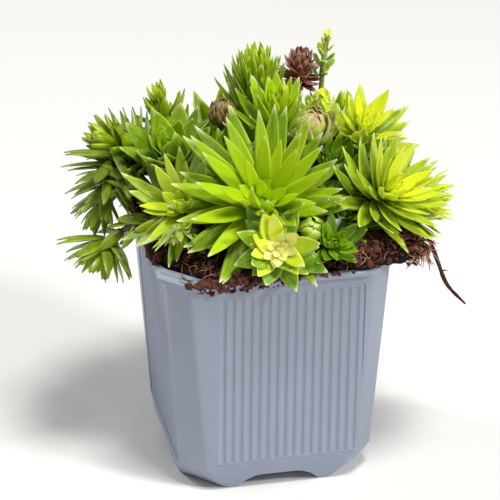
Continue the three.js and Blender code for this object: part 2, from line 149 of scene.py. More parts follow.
def meshFrom(name, copies):
    # one mesh of many placed copies: each is (points, faces, marks), with marks given for each point
    points = np.concatenate([c[0] for c in copies])
    starts = np.cumsum([0] + [len(c[0]) for c in copies])
    faces = [tuple(int(i) + int(start) for i in face) for start, c in zip(starts, copies) for face in c[1]]
    mesh = bpy.data.meshes.new(name)
    mesh.from_pydata(points.tolist(), [], faces)
    for mark in copies[0][2]:
        values = np.concatenate([np.broadcast_to(c[2][mark], len(c[0])) for c in copies])
        mesh.attributes.new(mark, "FLOAT", "POINT").data.foreach_set("value", values.astype(np.float32))
    mesh.shade_smooth()
    mesh.update()
    return addToScene(bpy.data.objects.new(name, mesh))


cameraPlan = dict(place=(-242.02, -1122.19, 669.92), right=(0.97815, -0.20791, 0),
                  up=(0.09439, 0.44407, 0.89101), lens=234.78, sensor=36, reach=(0.05, 20))


def makeCamera():
    view = bpy.data.cameras.new("camera")
    view.lens = cameraPlan["lens"]
    view.sensor_width = cameraPlan["sensor"]
    view.clip_start, view.clip_end = cameraPlan["reach"]
    camera = addToScene(bpy.data.objects.new("camera", view))
    right, up = Vector(cameraPlan["right"]), Vector(cameraPlan["up"])
    turn = Matrix((right, up, right.cross(up))).transposed().to_4x4()
    camera.matrix_world = Matrix.Translation(toScene(cameraPlan["place"])) @ turn
    bpy.context.scene.camera = camera


makeCamera()
print("camera placed")


# share of the length, of the width and of the thickness of each section from the root to the tip
leafSections = {
    "full": [(0, 0.62, 0.8), (0.1, 0.8, 1), (0.22, 0.94, 1), (0.38, 1, 0.98), (0.54, 0.94, 0.92),
             (0.69, 0.76, 0.8), (0.82, 0.5, 0.62), (0.92, 0.25, 0.42), (0.975, 0.1, 0.25), (1, 0, 0)],
    "lance": [(0, 0.66, 0.8), (0.12, 0.82, 1), (0.26, 0.96, 1), (0.42, 1, 0.96), (0.57, 0.92, 0.88),
              (0.71, 0.73, 0.76), (0.83, 0.48, 0.58), (0.93, 0.24, 0.4), (0.98, 0.09, 0.22), (1, 0, 0)],
    "blunt": [(0, 0.5, 0.8), (0.15, 0.7, 1), (0.3, 0.86, 1), (0.48, 0.98, 0.98), (0.64, 1.03, 0.92),
              (0.77, 0.95, 0.84), (0.87, 0.74, 0.7), (0.945, 0.45, 0.5), (0.985, 0.18, 0.3), (1, 0, 0)],
    "narrow": [(0, 0.7, 0.8), (0.14, 0.88, 1), (0.3, 0.98, 1), (0.46, 0.96, 0.96), (0.61, 0.86, 0.88),
               (0.74, 0.68, 0.74), (0.85, 0.46, 0.56), (0.935, 0.25, 0.38), (0.98, 0.1, 0.2), (1, 0, 0)],
}
# how deep the channel on a leaf's upper side and its thin edge are, and how both run from root to tip
leafBlankPlan = dict(sides=8, channel=0.3, channelRun=((0, 0.2, 0.8, 1), (0.4, 1, 0.8, 0)),
                     edge=0.1, edgeRun=((0, 0.9, 1), (1, 0.6, 0)))


def startBar(sides):
    # a disc that faces along Y, in edit mode and selected, to be drawn out into a bar
    selectNone()
    bpy.ops.mesh.primitive_circle_add(vertices=sides, radius=1, fill_type="NGON",
                                      rotation=(math.pi / 2, 0, 0))
    piece = bpy.context.object
    placeInMesh(piece)
    startEdit(piece)
    bpy.ops.mesh.select_all(action="SELECT")
    return piece


def drawOut(x, y, z):
    bpy.ops.mesh.extrude_region_move(TRANSFORM_OT_translate={"value": (x, y, z)})


def makeLeafBlank(form):
    # the bar gets a section at a time and a closed tip, and is then hollowed on top
    sections, plan = leafSections[form], leafBlankPlan
    piece = startBar(plan["sides"])
    _, width, thick = sections[0]
    bpy.ops.transform.resize(value=(width, 1, thick), center_override=(0, 0, 0))
    for (t, width, thick), (nextT, nextWidth, nextThick) in zip(sections, sections[1:]):
        drawOut(0, nextT - t, 0)
        if nextWidth:
            bpy.ops.transform.resize(value=(nextWidth / width, 1, nextThick / thick),
                                     center_override=(0, nextT, 0))
    bpy.ops.mesh.merge(type="CENTER")
    endEdit(facesOut=True)
    blank = Blank(piece)
    side, t, high = blank.points.T
    widths = np.interp(t, [s[0] for s in sections], [s[1] for s in sections])
    across = np.divide(side, widths, out=np.zeros_like(side), where=widths > 1e-6)
    channel = -plan["channel"] * (1 - across ** 2) * np.interp(t, *plan["channelRun"])
    top = channel - plan["edge"] * np.interp(t, *plan["edgeRun"])
    blank.side, blank.t, blank.across = side, t, across
    blank.above = np.where(high > 1e-4, top, np.where(high < -1e-4, high, -2 * plan["edge"]))
    blank.above[t > 0.999] = 0
    return blank


def makeBarBlank(sides, rows):
    # a round bar with closed ends and a row of points at each whole step
    piece = startBar(sides)
    for _ in range(rows - 1):
        drawOut(0, 1, 0)
    endEdit(facesOut=True)
    return Blank(piece)


barBlanks = {}


def sweepBar(path, radii, sides):
    # lays a round bar along a row of points, in millimetres
    path = np.asarray(path, float)
    key = (sides, len(path))
    if key not in barBlanks:
        barBlanks[key] = makeBarBlank(*key)
    blank = barBlanks[key]
    rows = np.rint(blank.points[:, 1]).astype(int)
    along = np.gradient(path, axis=0)
    along /= np.linalg.norm(along, axis=1)[:, None]
    guide = np.array([0.0, 1.0, 0.0]) if abs(along[0][1]) < 0.9 else np.array([1.0, 0.0, 0.0])
    across = np.cross(guide, along)
    across /= np.linalg.norm(across, axis=1)[:, None]
    back = np.cross(along, across)
    radii = np.broadcast_to(radii, len(path))
    points = path[rows] + radii[rows][:, None] * (
        blank.points[:, 0][:, None] * across[rows] + blank.points[:, 2][:, None] * back[rows])
    return points, blank.faces


leafBlanks = {form: makeLeafBlank(form) for form in leafSections}
print("blanks modelled")


# place and root in millimetres from the pot's middle, angles in degrees
heads = {
    "chick_front": dict(
        at=(-1.5, -42.4, 106.8), root=(-3, -38.5), lean=63, toward=-102, leaves=13, reach=19, width=8.6,
        thick=1.8, rise=(70, -6), curl=10, drop=2.5, heart=2.4, form="full", finish="pale"),
    "bud_front": dict(
        at=(11.9, -38.9, 111.4), root=(12, -34.5), lean=45, toward=-95, leaves=7, reach=8.8, width=5.8,
        thick=1.4, rise=(86, 50), curl=76, drop=2, heart=2.6, form="blunt", finish="pale"),
    "rosette_main": dict(
        at=(-2.7, -22, 116.2), root=(0.5, -12.5), lean=48, toward=-102, leaves=31, reach=38, width=8,
        thick=2.4, rise=(84, -4), curl=14, drop=5, heart=4.2, form="full", finish="leaf"),
    "rosette_front": dict(
        at=(20.3, -39.2, 104.6), root=(18.5, -36.5), lean=44, toward=-70, leaves=9, reach=16, width=6.6,
        thick=2, rise=(60, 0), curl=8, drop=1.2, heart=2.3, form="full", finish="deep"),
    "rosette_left_star": dict(
        at=(-33.5, -14.4, 114), root=(-27.5, -13.5), lean=52, toward=-118, leaves=14, reach=23, width=7,
        thick=1.9, rise=(76, 0), curl=8, drop=6, heart=2.6, form="lance", finish="bright"),
    "rosette_left_low": dict(
        at=(-36.4, -22.9, 108.2), root=(-27.5, -24.5), lean=128, toward=-112, leaves=9, reach=17, width=4.4,
        thick=1.6, rise=(80, 34), curl=-10, drop=2, heart=2.2, form="lance", finish="pale"),
    "rosette_left_broad": dict(
        at=(-34, 5.2, 127.7), root=(-25.5, 4.5), lean=24, toward=-112, leaves=13, reach=26, width=12,
        thick=2.4, rise=(80, 18), curl=16, drop=10, heart=3.4, form="lance", finish="leaf"),
    "shoot_left_fan": dict(
        at=(-55.4, 20, 128.2), root=(-31.5, 17.5), lean=56, toward=165, leaves=18, reach=21, width=5.8,
        thick=1.7, rise=(78, 6), curl=10, drop=16, heart=2.2, form="narrow", finish="leaf"),
    "shoot_left_trail": dict(
        at=(-62.2, 11.2, 102.3), root=(-35.5, -1.5), lean=162, toward=-165, leaves=22, reach=19, width=4.2,
        thick=1.5, rise=(72, 2), curl=10, drop=26, heart=1.8, form="narrow", finish="deep"),
    "shoot_left_hang": dict(
        at=(-62.2, 2.5, 89.8), root=(-34.5, -12.5), lean=146, toward=-150, leaves=14, reach=19.5, width=5.6,
        thick=1.7, rise=(80, 16), curl=10, drop=5, heart=2, form="narrow", finish="leaf"),
    "head_dried_front": dict(
        at=(-11.3, 14.7, 140), root=(-10.5, 12.5), lean=8, toward=-90, leaves=12, reach=8.6, width=4.2,
        thick=1.3, rise=(84, 36), curl=62, drop=6, heart=3.6, form="blunt", finish="dried"),
    "tuft_back": dict(
        at=(6.2, 33.5, 147), root=(6.5, 28.5), lean=6, toward=-100, leaves=23, reach=24, width=4,
        thick=1.7, rise=(88, 48), curl=16, drop=24, heart=3.6, form="narrow", finish="leaf"),
    "rosette_middle": dict(
        at=(8.5, 8.5, 141), root=(6.5, 6.5), lean=10, toward=-98, leaves=18, reach=29, width=7.8,
        thick=2.2, rise=(84, 14), curl=12, drop=22, heart=3.2, form="lance", finish="leaf"),
    "bud_pink": dict(
        at=(20.3, -1.7, 137), root=(17.5, -0.5), lean=28, toward=-80, leaves=11, reach=15, width=9,
        thick=1.8, rise=(84, 34), curl=60, drop=6, heart=4.4, form="blunt", finish="bud"),
    "rosette_right_yellow": dict(
        at=(42, -0.7, 134.5), root=(33.5, 0.5), lean=28, toward=-72, leaves=20, reach=25, width=7.4,
        thick=2, rise=(80, -4), curl=10, drop=20, heart=2.8, form="lance", finish="bright"),
    "rosette_right": dict(
        at=(45.7, -26, 118.6), root=(32.5, -19.5), lean=46, toward=-50, leaves=24, reach=28, width=6.4,
        thick=2, rise=(80, -4), curl=12, drop=12, heart=3, form="lance", finish="bright"),
    "rosette_right_outer": dict(
        at=(61.1, -18.1, 110), root=(37, -9.5), lean=80, toward=-18, leaves=16, reach=21, width=5.6,
        thick=1.8, rise=(78, 6), curl=14, drop=10, heart=2.4, form="lance", finish="bright"),
    "rosette_low_right": dict(
        at=(26.1, -25.4, 109.5), root=(21.5, -21.5), lean=46, toward=-62, leaves=15, reach=21, width=7,
        thick=1.9, rise=(80, -4), curl=10, drop=3, heart=2.6, form="lance", finish="deep"),
    "rosette_shade": dict(
        at=(30.1, -9.4, 121.7), root=(23.5, -6.5), lean=30, toward=-75, leaves=12, reach=24, width=8,
        thick=2, rise=(80, 2), curl=10, drop=12, heart=2.8, form="lance", finish="deep"),
    "rosette_shade_left": dict(
        at=(-22.6, -4.4, 117), root=(-18.5, -8.5), lean=34, toward=-112, leaves=11, reach=23, width=7.6,
        thick=2, rise=(80, 4), curl=10, drop=8, heart=2.6, form="lance", finish="deep"),
    "rosette_small": dict(
        at=(29.3, 18.3, 137), root=(25.5, 14.5), lean=18, toward=-70, leaves=14, reach=13.5, width=5.4,
        thick=1.7, rise=(80, 2), curl=12, drop=18, heart=2.2, form="blunt", finish="bright"),
    "shoot_pale": dict(
        at=(34.3, 31.6, 160), root=(30.5, 28.5), lean=10, toward=-60, leaves=7, reach=7, width=3.4,
        thick=1.3, rise=(70, 30), curl=10, drop=18, heart=1.1, form="blunt", finish="pale"),
    "head_dried_back": dict(
        at=(25, 36.3, 149), root=(19.5, 32.5), lean=12, toward=-70, leaves=14, reach=9.5, width=3.4,
        thick=1.2, rise=(84, -10), curl=20, drop=10, heart=3.6, form="narrow", finish="dried"),
    "rosette_left_back": dict(
        at=(-32.5, 33.1, 137), root=(-26.5, 28.5), lean=16, toward=175, leaves=15, reach=18, width=4.8,
        thick=1.8, rise=(84, 10), curl=14, drop=22, heart=2.6, form="narrow", finish="leaf"),
    "rosette_dark": dict(
        at=(-14.5, 5.5, 125), root=(-12.8, 1.5), lean=5, toward=-110, leaves=13, reach=22, width=7.4,
        thick=2, rise=(84, 10), curl=10, drop=14, heart=3.1, form="lance", finish="deep"),
    "rosette_back_left": dict(
        at=(-42, 41, 114), root=(-33, 32), lean=58, toward=138, leaves=11, reach=20, width=6,
        thick=1.9, rise=(80, -6), curl=12, drop=8, heart=2.8, form="lance", finish="leaf"),
    "rosette_back": dict(
        at=(-8, 49, 117), root=(-8, 37.5), lean=50, toward=96, leaves=13, reach=25, width=7.6,
        thick=2.1, rise=(82, -8), curl=14, drop=12, heart=3.4, form="full", finish="leaf"),
    "chick_back": dict(
        at=(21, 52, 110), root=(15, 38), lean=66, toward=72, leaves=11, reach=16, width=6,
        thick=1.8, rise=(80, 0), curl=10, drop=5, heart=2.6, form="blunt", finish="bright"),
    "rosette_back_right": dict(
        at=(43, 37, 119), root=(35, 30), lean=50, toward=42, leaves=12, reach=22, width=6.6,
        thick=2, rise=(82, -6), curl=12, drop=10, heart=3, form="lance", finish="leaf"),
    "rosette_right_back": dict(
        at=(53, 12, 118), root=(38, 9), lean=58, toward=8, leaves=11, reach=20, width=5.6,
        thick=1.9, rise=(80, -4), curl=12, drop=10, heart=2.8, form="lance", finish="bright"),
}
# the sections of the frame's own leaves between root and tip: shares of the length, width and thickness
leafForms = {
    "full": [(0.22, 0.74, 1), (0.52, 1, 1), (0.8, 0.66, 0.7)],
    "lance": [(0.28, 0.82, 1), (0.64, 0.92, 0.85)],
    "blunt": [(0.3, 0.78, 1), (0.8, 1, 0.85)],
    "narrow": [(0.2, 0.9, 1), (0.66, 0.86, 0.85)],
}
goldenAngle = 137.508  # degrees from one leaf of a rosette to the next
# a leaf that would cross something takes the first lift in degrees and share of its length that clear it
bends = [(lift, share) for share in (1, 0.86, 0.72, 0.56) for lift in (0, 8, -8, 16, 24, -16, 34, 44)]
# shares of the head's measures: for the inmost leaf, how much the outermost one gains, and along what power
leafPlan = dict(length=(0.42, 0.58, 0.7), width=(0.55, 0.45, 0.6), thick=(0.7, 0.3, 1), risePower=0.8,
                start=0.62, level=0.4, turnOfSeed=40, turnWobble=7, riseWobble=5, lengthWobble=0.07,
                nearEnough=0.00004)
# the small leaves in a rosette's middle, from the first to the last; a strongly curled head is a closed one
corePlan = dict(leaves=9, reach=0.34, length=(0.7, 0.5, 1), width=0.6, halfWidth=(0.55, 0.45, 1), thick=0.5,
                start=(0.12, 0.4, 1), level=0.5, turn=61, rise=(82, -38, 1), curl=18,
                closedCurl=40, closedRise=(88, -8, 1))
soilPlan = dict(edge=98, crown=3, crownWide=2200, heap=(40.5, -30.5), heapHigh=7, heapWide=17, bump=0.9)
stemPlan = dict(share=0.62, least=1.1, sides=8, foot=5, collar=2.5, knee=0.4, neck=0.35, steps=11,
                swell=1.1, wobble=0.06)
# where a leaf is tested for what it crosses: shares of its length, and of its width there
clearPlan = dict(along=(0.15, 0.4, 0.6, 0.8, 1), width=(1, 1, 1, 0.7, 0), sides=(0, -0.8, 0.8))
# leaves between a rosette's own: their number, width and reach as shares of the head's, how much further
# out they start, and how many degrees lower they lie
fillPlan = {
    "usual": dict(share=1.2, width=0.86, reach=0.9),
    "chick_front": dict(share=0.6, width=0.85, reach=0.8),
    "bud_front": dict(share=1.8, width=1.0, reach=0.95),
    "rosette_main": dict(share=0.85, width=1.0, reach=0.98, lower=9),
    "rosette_shade": dict(share=1.9, width=0.95, reach=1.0),
    "rosette_shade_left": dict(share=2.3, width=1.0, reach=1.18),
    "rosette_left_star": dict(share=0.7, width=0.8, reach=1.15),
    "rosette_left_low": dict(share=0.25, width=0.9, reach=0.9),
    "rosette_left_broad": dict(share=0.4, width=0.95, reach=0.9),
    "rosette_left_back": dict(share=1.0, width=0.9, reach=1.0, lower=14),
    "shoot_left_fan": dict(share=2.1, width=1.12, reach=1.08),
    "shoot_left_trail": dict(share=1.6, width=1.2, reach=1.05),
    "shoot_left_hang": dict(share=1.5, width=1.2, reach=0.95),
    "tuft_back": dict(share=2.4, width=0.95, reach=1.0, lower=8),
    "bud_pink": dict(share=2.4, width=0.68, reach=0.98, start=1.18),
    "head_dried_front": dict(share=2.6, width=0.75, reach=0.98, start=1.15),
    "head_dried_back": dict(share=3.0, width=0.9, reach=0.95),
    "rosette_middle": dict(share=0.9, width=0.9, reach=0.95),
    "rosette_right": dict(share=1.0, width=1.0, reach=1.0),
    "rosette_right_yellow": dict(share=0.7, width=0.95, reach=0.9),
    "rosette_right_outer": dict(share=1.1, width=1.0, reach=1.0),
    "shoot_pale": dict(share=0.8, width=0.9, reach=0.9),
    "rosette_back_left": dict(share=2.4, width=1.0, reach=1.1, lower=12),
    "rosette_back": dict(share=2.0, width=1.0, reach=1.1, lower=10),
    "rosette_back_right": dict(share=2.2, width=1.0, reach=1.1, lower=10),
}
# how the finished leaves of some rosettes differ in width, start and outline, and how far the inner and
# the core ones open (in degrees), stretch and widen
leafLooks = {
    "rosette_main": dict(open=24, stretch=0.5, coreOpen=16, coreWidth=1.35),
    "chick_front": dict(open=20, coreOpen=24, stretch=0.12),
    "bud_front": dict(width=1.45, start=1.4, form="full"),
    "bud_pink": dict(width=0.8, form="full"),
    "head_dried_front": dict(width=0.9, form="full"),
    "rosette_left_star": dict(width=1.05, open=22, stretch=0.45, coreOpen=12, coreWidth=1.2),
    "rosette_right_yellow": dict(width=1.05, open=20, stretch=0.3),
    "rosette_right": dict(width=1.12, open=16, stretch=0.3),
    "rosette_right_outer": dict(width=1.12, open=12, stretch=0.2),
}
# leaves along some stems, from this share of the stem on, with shares of the head's width and reach
stemLeafUsual = dict(end=0.95, outward=0.55, outwardWobble=0.4, turnOfSeed=23, riseWobble=10, curlMore=6,
                     thick=0.85, start=0.6)
stemLeafPlan = {
    "chick_front": dict(leaves=10, start=0.25, width=1.05, reach=0.84, rise=14),
    "shoot_left_fan": dict(leaves=20, start=0.1, width=1.0, reach=0.7, rise=48),
    "shoot_left_trail": dict(leaves=24, start=0.12, width=1.0, reach=0.8, rise=46),
    "shoot_left_hang": dict(leaves=16, start=0.22, width=0.85, reach=0.62, rise=46),
    "rosette_left_back": dict(leaves=15, start=0.08, width=0.85, reach=0.6, rise=50),
    "rosette_left_low": dict(leaves=5, start=0.4, width=0.9, reach=0.6, rise=50),
    "rosette_left_broad": dict(leaves=14, start=0.3, width=0.8, reach=0.95, rise=36),
    "rosette_shade": dict(leaves=9, start=0.35, width=1.0, reach=0.7, rise=52),
    "bud_pink": dict(leaves=6, start=0.4, width=0.7, reach=0.9, rise=50),
    "rosette_right_yellow": dict(leaves=11, start=0.3, width=0.9, reach=0.8, rise=44),
    "shoot_pale": dict(leaves=5, start=0.3, width=0.7, reach=0.6, rise=40),
    "head_dried_back": dict(leaves=7, start=0.3, width=0.9, reach=0.75, rise=50),
    "head_dried_front": dict(leaves=6, start=0.3, width=0.7, reach=0.8, rise=50),
    "rosette_small": dict(leaves=6, start=0.3, width=0.8, reach=0.7, rise=46),
}


def soilTop(x, y):
    heapX, heapY = soilPlan["heap"]
    crown = soilPlan["crown"] * max(0, 1 - (x * x + y * y) / soilPlan["crownWide"])
    away = (x - heapX) ** 2 + (y - heapY) ** 2
    heap = soilPlan["heapHigh"] * math.exp(-away / (2 * soilPlan["heapWide"] ** 2))
    bumps = math.sin(0.41 * x + 1) * math.cos(0.37 * y) + 0.6 * math.sin(0.9 * x - 0.7 * y)
    return soilPlan["edge"] + crown + heap + soilPlan["bump"] * bumps


def wobble(seed, n):
    # the same number from -1 to 1 for the same leaf each time, in no visible order
    return (((seed * 131 + n * 71 + 17) * 53) % 97) / 48 - 1


def mix(a, b, share):
    return a + (b - a) * share


def grown(plan, share):
    least, gain, power = plan
    return least + gain * share ** power


def headFrame(head):
    return np.array(Matrix.Translation(head["at"]) @ Matrix.Rotation(math.radians(head["toward"]), 4, "Z")
                    @ Matrix.Rotation(math.radians(head["lean"]), 4, "Y"))


def placed(points, place):
    # from a rosette's own axes to the scene
    return toScene(points @ place[:3, :3].T + place[:3, 3])


def leafTurn(seed, n, more=0):
    return math.radians(n * goldenAngle + seed * leafPlan["turnOfSeed"] + more)


def leafOf(head, seed, i, lift, share):
    # leaf i of a head, from the inmost to the outermost, with one of the bends
    plan, outward = leafPlan, i / (head["leaves"] - 1)
    rise = mix(*head["rise"], outward ** plan["risePower"])
    uneven = 1 + plan["lengthWobble"] * wobble(seed + 5, i)
    return dict(
        outward=outward,
        turn=leafTurn(seed, i, plan["turnWobble"] * wobble(seed, i)),
        rise=math.radians(rise + plan["riseWobble"] * wobble(seed + 3, i) + lift),
        curl=math.radians(head["curl"]),
        length=head["reach"] * grown(plan["length"], outward) * uneven * share,
        halfWidth=head["width"] / 2 * grown(plan["width"], outward),
        thick=head["thick"] * grown(plan["thick"], outward),
        start=head["heart"] * plan["start"],
        level=head["heart"] * plan["level"] * (1 - outward) - head["drop"] * outward)


def coreLeaf(head, look, seed, k):
    # the small leaves in the middle, which close over it on a bud and stand open elsewhere
    plan, share = corePlan, k / corePlan["leaves"]
    closed, wide = head["curl"] > plan["closedCurl"], look.get("coreWidth", 1)
    rise = grown(plan["closedRise" if closed else "rise"], share) - look.get("coreOpen", 0)
    return dict(
        outward=0,
        turn=leafTurn(seed, k, plan["turn"]),
        rise=math.radians(rise),
        curl=math.radians(head["curl"] if closed else plan["curl"]),
        length=head["reach"] * plan["reach"] * grown(plan["length"], share),
        halfWidth=head["width"] / 2 * plan["width"] * wide * grown(plan["halfWidth"], share),
        thick=head["thick"] * plan["thick"],
        start=head["heart"] * grown(plan["start"], share),
        level=head["heart"] * plan["level"])


def leafPoints(leaf, t, side, above, spread=0):
    # points at share t of the length, to the side of and above the middle line, which spread sweeps aside
    t, side, above = (np.asarray(v, float) for v in (t, side, above))
    heading = leaf["rise"] + leaf["curl"] * t
    radius = leaf["start"] + leaf["length"] * (np.sin(heading) - math.sin(leaf["rise"])) / leaf["curl"]
    height = leaf["level"] + leaf["length"] * (math.cos(leaf["rise"]) - np.cos(heading)) / leaf["curl"]
    out = radius - above * np.sin(heading)
    side = side + spread * leaf["length"] * t * t
    cos, sin = math.cos(leaf["turn"]), math.sin(leaf["turn"])
    return np.stack([out * cos - side * sin, out * sin + side * cos, height + above * np.cos(heading)], -1)


def checkPoints(leaf, form):
    # the corners that the frame's own leaf would have
    rows = leafForms[form]
    t = [1] + [row[0] for row in rows for _ in range(3)]
    side = [0] + [sign * leaf["halfWidth"] * row[1] for row in rows for sign in (1, -1, 0)]
    above = [0] + [(-leaf["thick"] * row[2] if sign == 0 else 0) for row in rows for sign in (1, -1, 0)]
    return leafPoints(leaf, t, side, above)


def cadTree(nodeName):
    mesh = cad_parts[nodeName].data
    tree = kdtree.KDTree(len(mesh.vertices))
    for vertex in mesh.vertices:
        tree.insert(vertex.co, vertex.index)
    tree.balance()
    return tree


def leavesOf(nodeName, seed):
    # finds how each leaf of the frame's own rosette is bent, so the finished leaf lies where that one does
    head = heads[nodeName]
    tree, place, found = cadTree(nodeName), headFrame(head), []
    for i in range(head["leaves"]):
        mostHits, best = 0, None
        for lift, share in bends:
            leaf = leafOf(head, seed, i, lift, share)
            points = placed(checkPoints(leaf, head["form"]), place)
            hits = sum(tree.find(Vector(p))[2] < leafPlan["nearEnough"] for p in points)
            if hits > mostHits:
                mostHits, best = hits, leaf
        if best:
            found.append((i, best))
    return found


def stemPath(head):
    # from just under the soil straight up, then in one bend to the rosette
    plan, place = stemPlan, headFrame(head)
    rootX, rootY = head["root"]
    surface = soilTop(rootX, rootY)
    foot = np.array([rootX, rootY, surface - plan["foot"]])
    collar = np.array([rootX, rootY, surface + plan["collar"]])
    axis, top = place[:3, 2], place[:3, 3]
    free = np.linalg.norm(top - collar)
    knee = collar + np.array([0, 0, plan["knee"] * free])
    neck = top - axis * max(head["drop"] + 1, plan["neck"] * free)
    path = [foot]
    for s in np.linspace(0, 1, plan["steps"]):
        a, b, c, d = (1 - s) ** 3, 3 * s * (1 - s) ** 2, 3 * s * s * (1 - s), s ** 3
        path.append(a * collar + b * knee + c * neck + d * top)
    return path


def treeOf(pieces):
    # for finding what a ray meets first
    points, faces = [], []
    for piece in pieces:
        start = len(points)
        points += [v.co.copy() for v in piece.data.vertices]
        faces += [[start + i for i in p.vertices] for p in piece.data.polygons]
    return bvhtree.BVHTree.FromPolygons(points, faces)


def isClear(tree, leaf, place):
    # whether the leaf's middle and both its edges pass nothing else
    widths = np.array(clearPlan["width"])
    for side in clearPlan["sides"]:
        line = leafPoints(leaf, clearPlan["along"], side * leaf["halfWidth"] * widths, 0)
        line = [Vector(p) for p in placed(line, place)]
        for a, b in zip(line, line[1:]):
            if tree.ray_cast(a, (b - a).normalized(), (b - a).length)[0] is not None:
                return False
    return True


def firstClear(tree, place, bent):
    # the leaf with the first of the bends that leaves it clear, or none
    leaves = (bent(lift, share) for lift, share in bends)
    return next((leaf for leaf in leaves if isClear(tree, leaf, place)), None)


def fillLeaves(nodeName, seed, tree):
    # more leaves on the same spiral
    head, plan = heads[nodeName], fillPlan.get(nodeName, fillPlan["usual"])
    place, count, found = headFrame(head), round(plan["share"] * head["leaves"]), []
    for j in range(count):
        def bent(lift, share):
            i = (j + 0.5) / count * (head["leaves"] - 1)
            leaf = leafOf(head, seed + 40, i, lift - plan.get("lower", 0), share * plan["reach"])
            leaf["turn"] = leafTurn(seed, head["leaves"] + j)
            leaf["halfWidth"] *= plan["width"]
            leaf["start"] *= plan.get("start", 1)
            return leaf
        found.append(firstClear(tree, place, bent))
    return [leaf for leaf in found if leaf]


def stemLeaves(nodeName, seed, tree):
    # each leaf with its own place on the stem
    head, plan = heads[nodeName], stemLeafPlan.get(nodeName, dict(leaves=0))
    usual, path, found = stemLeafUsual, np.array(stemPath(head)), []
    for k in range(plan["leaves"]):
        s = mix(plan["start"], usual["end"], (k + 0.5) / plan["leaves"]) * (len(path) - 1)
        n = int(s)
        turn = Vector(path[n + 1] - path[n]).to_track_quat("Z", "X").to_matrix().to_4x4()
        place = np.array(Matrix.Translation(mix(path[n], path[n + 1], s - n)) @ turn)

        def bent(lift, share):
            return dict(
                outward=usual["outward"] + usual["outwardWobble"] * wobble(seed + 13, k),
                turn=math.radians(k * goldenAngle + seed * usual["turnOfSeed"]),
                rise=math.radians(plan["rise"] + usual["riseWobble"] * wobble(seed + 9, k) + lift),
                curl=math.radians(head["curl"] + usual["curlMore"]),
                length=head["reach"] * plan["reach"] * share,
                halfWidth=head["width"] / 2 * plan["width"],
                thick=head["thick"] * usual["thick"], start=usual["start"], level=0)
        found.append((firstClear(tree, place, bent), place))
    return [(leaf, place) for leaf, place in found if leaf]


def dressed(leaf, look, tree, place, width=1):
    # inner leaves open wider and grow longer than the frame's, as far as that leaves them clear
    inner, most = 1 - leaf["outward"], look.get("stretch", 0)
    for stretch in (most, most / 2, 0):
        opened = {
            **leaf,
            "halfWidth": leaf["halfWidth"] * width,
            "start": leaf["start"] * look.get("start", 1),
            "rise": leaf["rise"] - math.radians(look.get("open", 0)) * inner ** 2,
            "length": leaf["length"] * (1 + stretch * inner),
        }
        if isClear(tree, opened, place):
            break
    return opened


def leafCopy(leaf, form, place, seed, i, roll=0.03):
    blank = leafBlanks[form]
    points = leafPoints(leaf, blank.t, blank.side * leaf["halfWidth"], blank.above * leaf["thick"],
                        spread=roll * wobble(seed + 7, i))
    marks = dict(leafTint=wobble(seed + 11, i) * 0.5 + 0.5, leafAge=leaf["outward"], leafAlong=blank.t,
                 leafAcross=blank.across, leafUnder=(blank.above < -0.45).astype(float), leafPart=1.0)
    return placed(points, place), blank.faces, marks


barMarks = dict(leafTint=0.5, leafAge=1.0, leafAlong=0.1, leafAcross=0.0, leafUnder=0.0, leafPart=0.0)


def stemCopy(head, seed):
    plan, path = stemPlan, stemPath(head)
    radius = max(plan["least"], plan["share"] * head["heart"])
    swell = [plan["swell"]] * 2 + [1 + plan["wobble"] * wobble(seed, n) for n in range(len(path) - 2)]
    points, faces = sweepBar(path, radius * np.array(swell), plan["sides"])
    return toScene(points), faces, barMarks


def heartCopy(head, place):
    # the round middle that the leaves stand on, as heights and radii
    heart, drop = head["heart"], head["drop"]
    heights = [-drop - heart, -drop, -0.4 * drop, 0.3 * heart, heart]
    radii = [0.05, 0.9 * heart, heart, 0.9 * heart, 0.1]
    points, faces = sweepBar([(0, 0, height) for height in heights], radii, stemPlan["sides"])
    return placed(points, place), faces, {**barMarks, "leafAge": 0.15, "leafPart": 0.9}


def makeHead(name, seed):
    head, look = heads[name], leafLooks.get(name, {})
    place, form = headFrame(head), look.get("form", head["form"])
    tree = treeOf([node for other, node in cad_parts.items() if other != name])
    own = leavesOf(name, seed)
    copies = [leafCopy(dressed(leaf, look, tree, place, look.get("width", 1)), form, place, seed, i)
              for i, leaf in own]
    copies += [leafCopy(dressed(leaf, look, tree, place), form, place, seed + 30, k, 0.06)
               for k, leaf in enumerate(fillLeaves(name, seed, tree))]
    copies += [leafCopy(leaf, form, at, seed + 50, k, 0.08)
               for k, (leaf, at) in enumerate(stemLeaves(name, seed, tree))]
    copies += [leafCopy(coreLeaf(head, look, seed, k), form, place, seed + 20, k)
               for k in range(corePlan["leaves"])]
    copies += [stemCopy(head, seed), heartCopy(head, place)]
    piece = meshFrom("leaves_" + name, copies)
    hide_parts(name)
    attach(piece, "root")
    return piece, len(own)


headPieces = {}
for seed, name in enumerate(heads):
    headPieces[name], count = makeHead(name, seed)
    if count < heads[name]["leaves"]:
        print(name, "has", count, "of", heads[name]["leaves"], "leaves")
print("rosettes made:", len(headPieces))


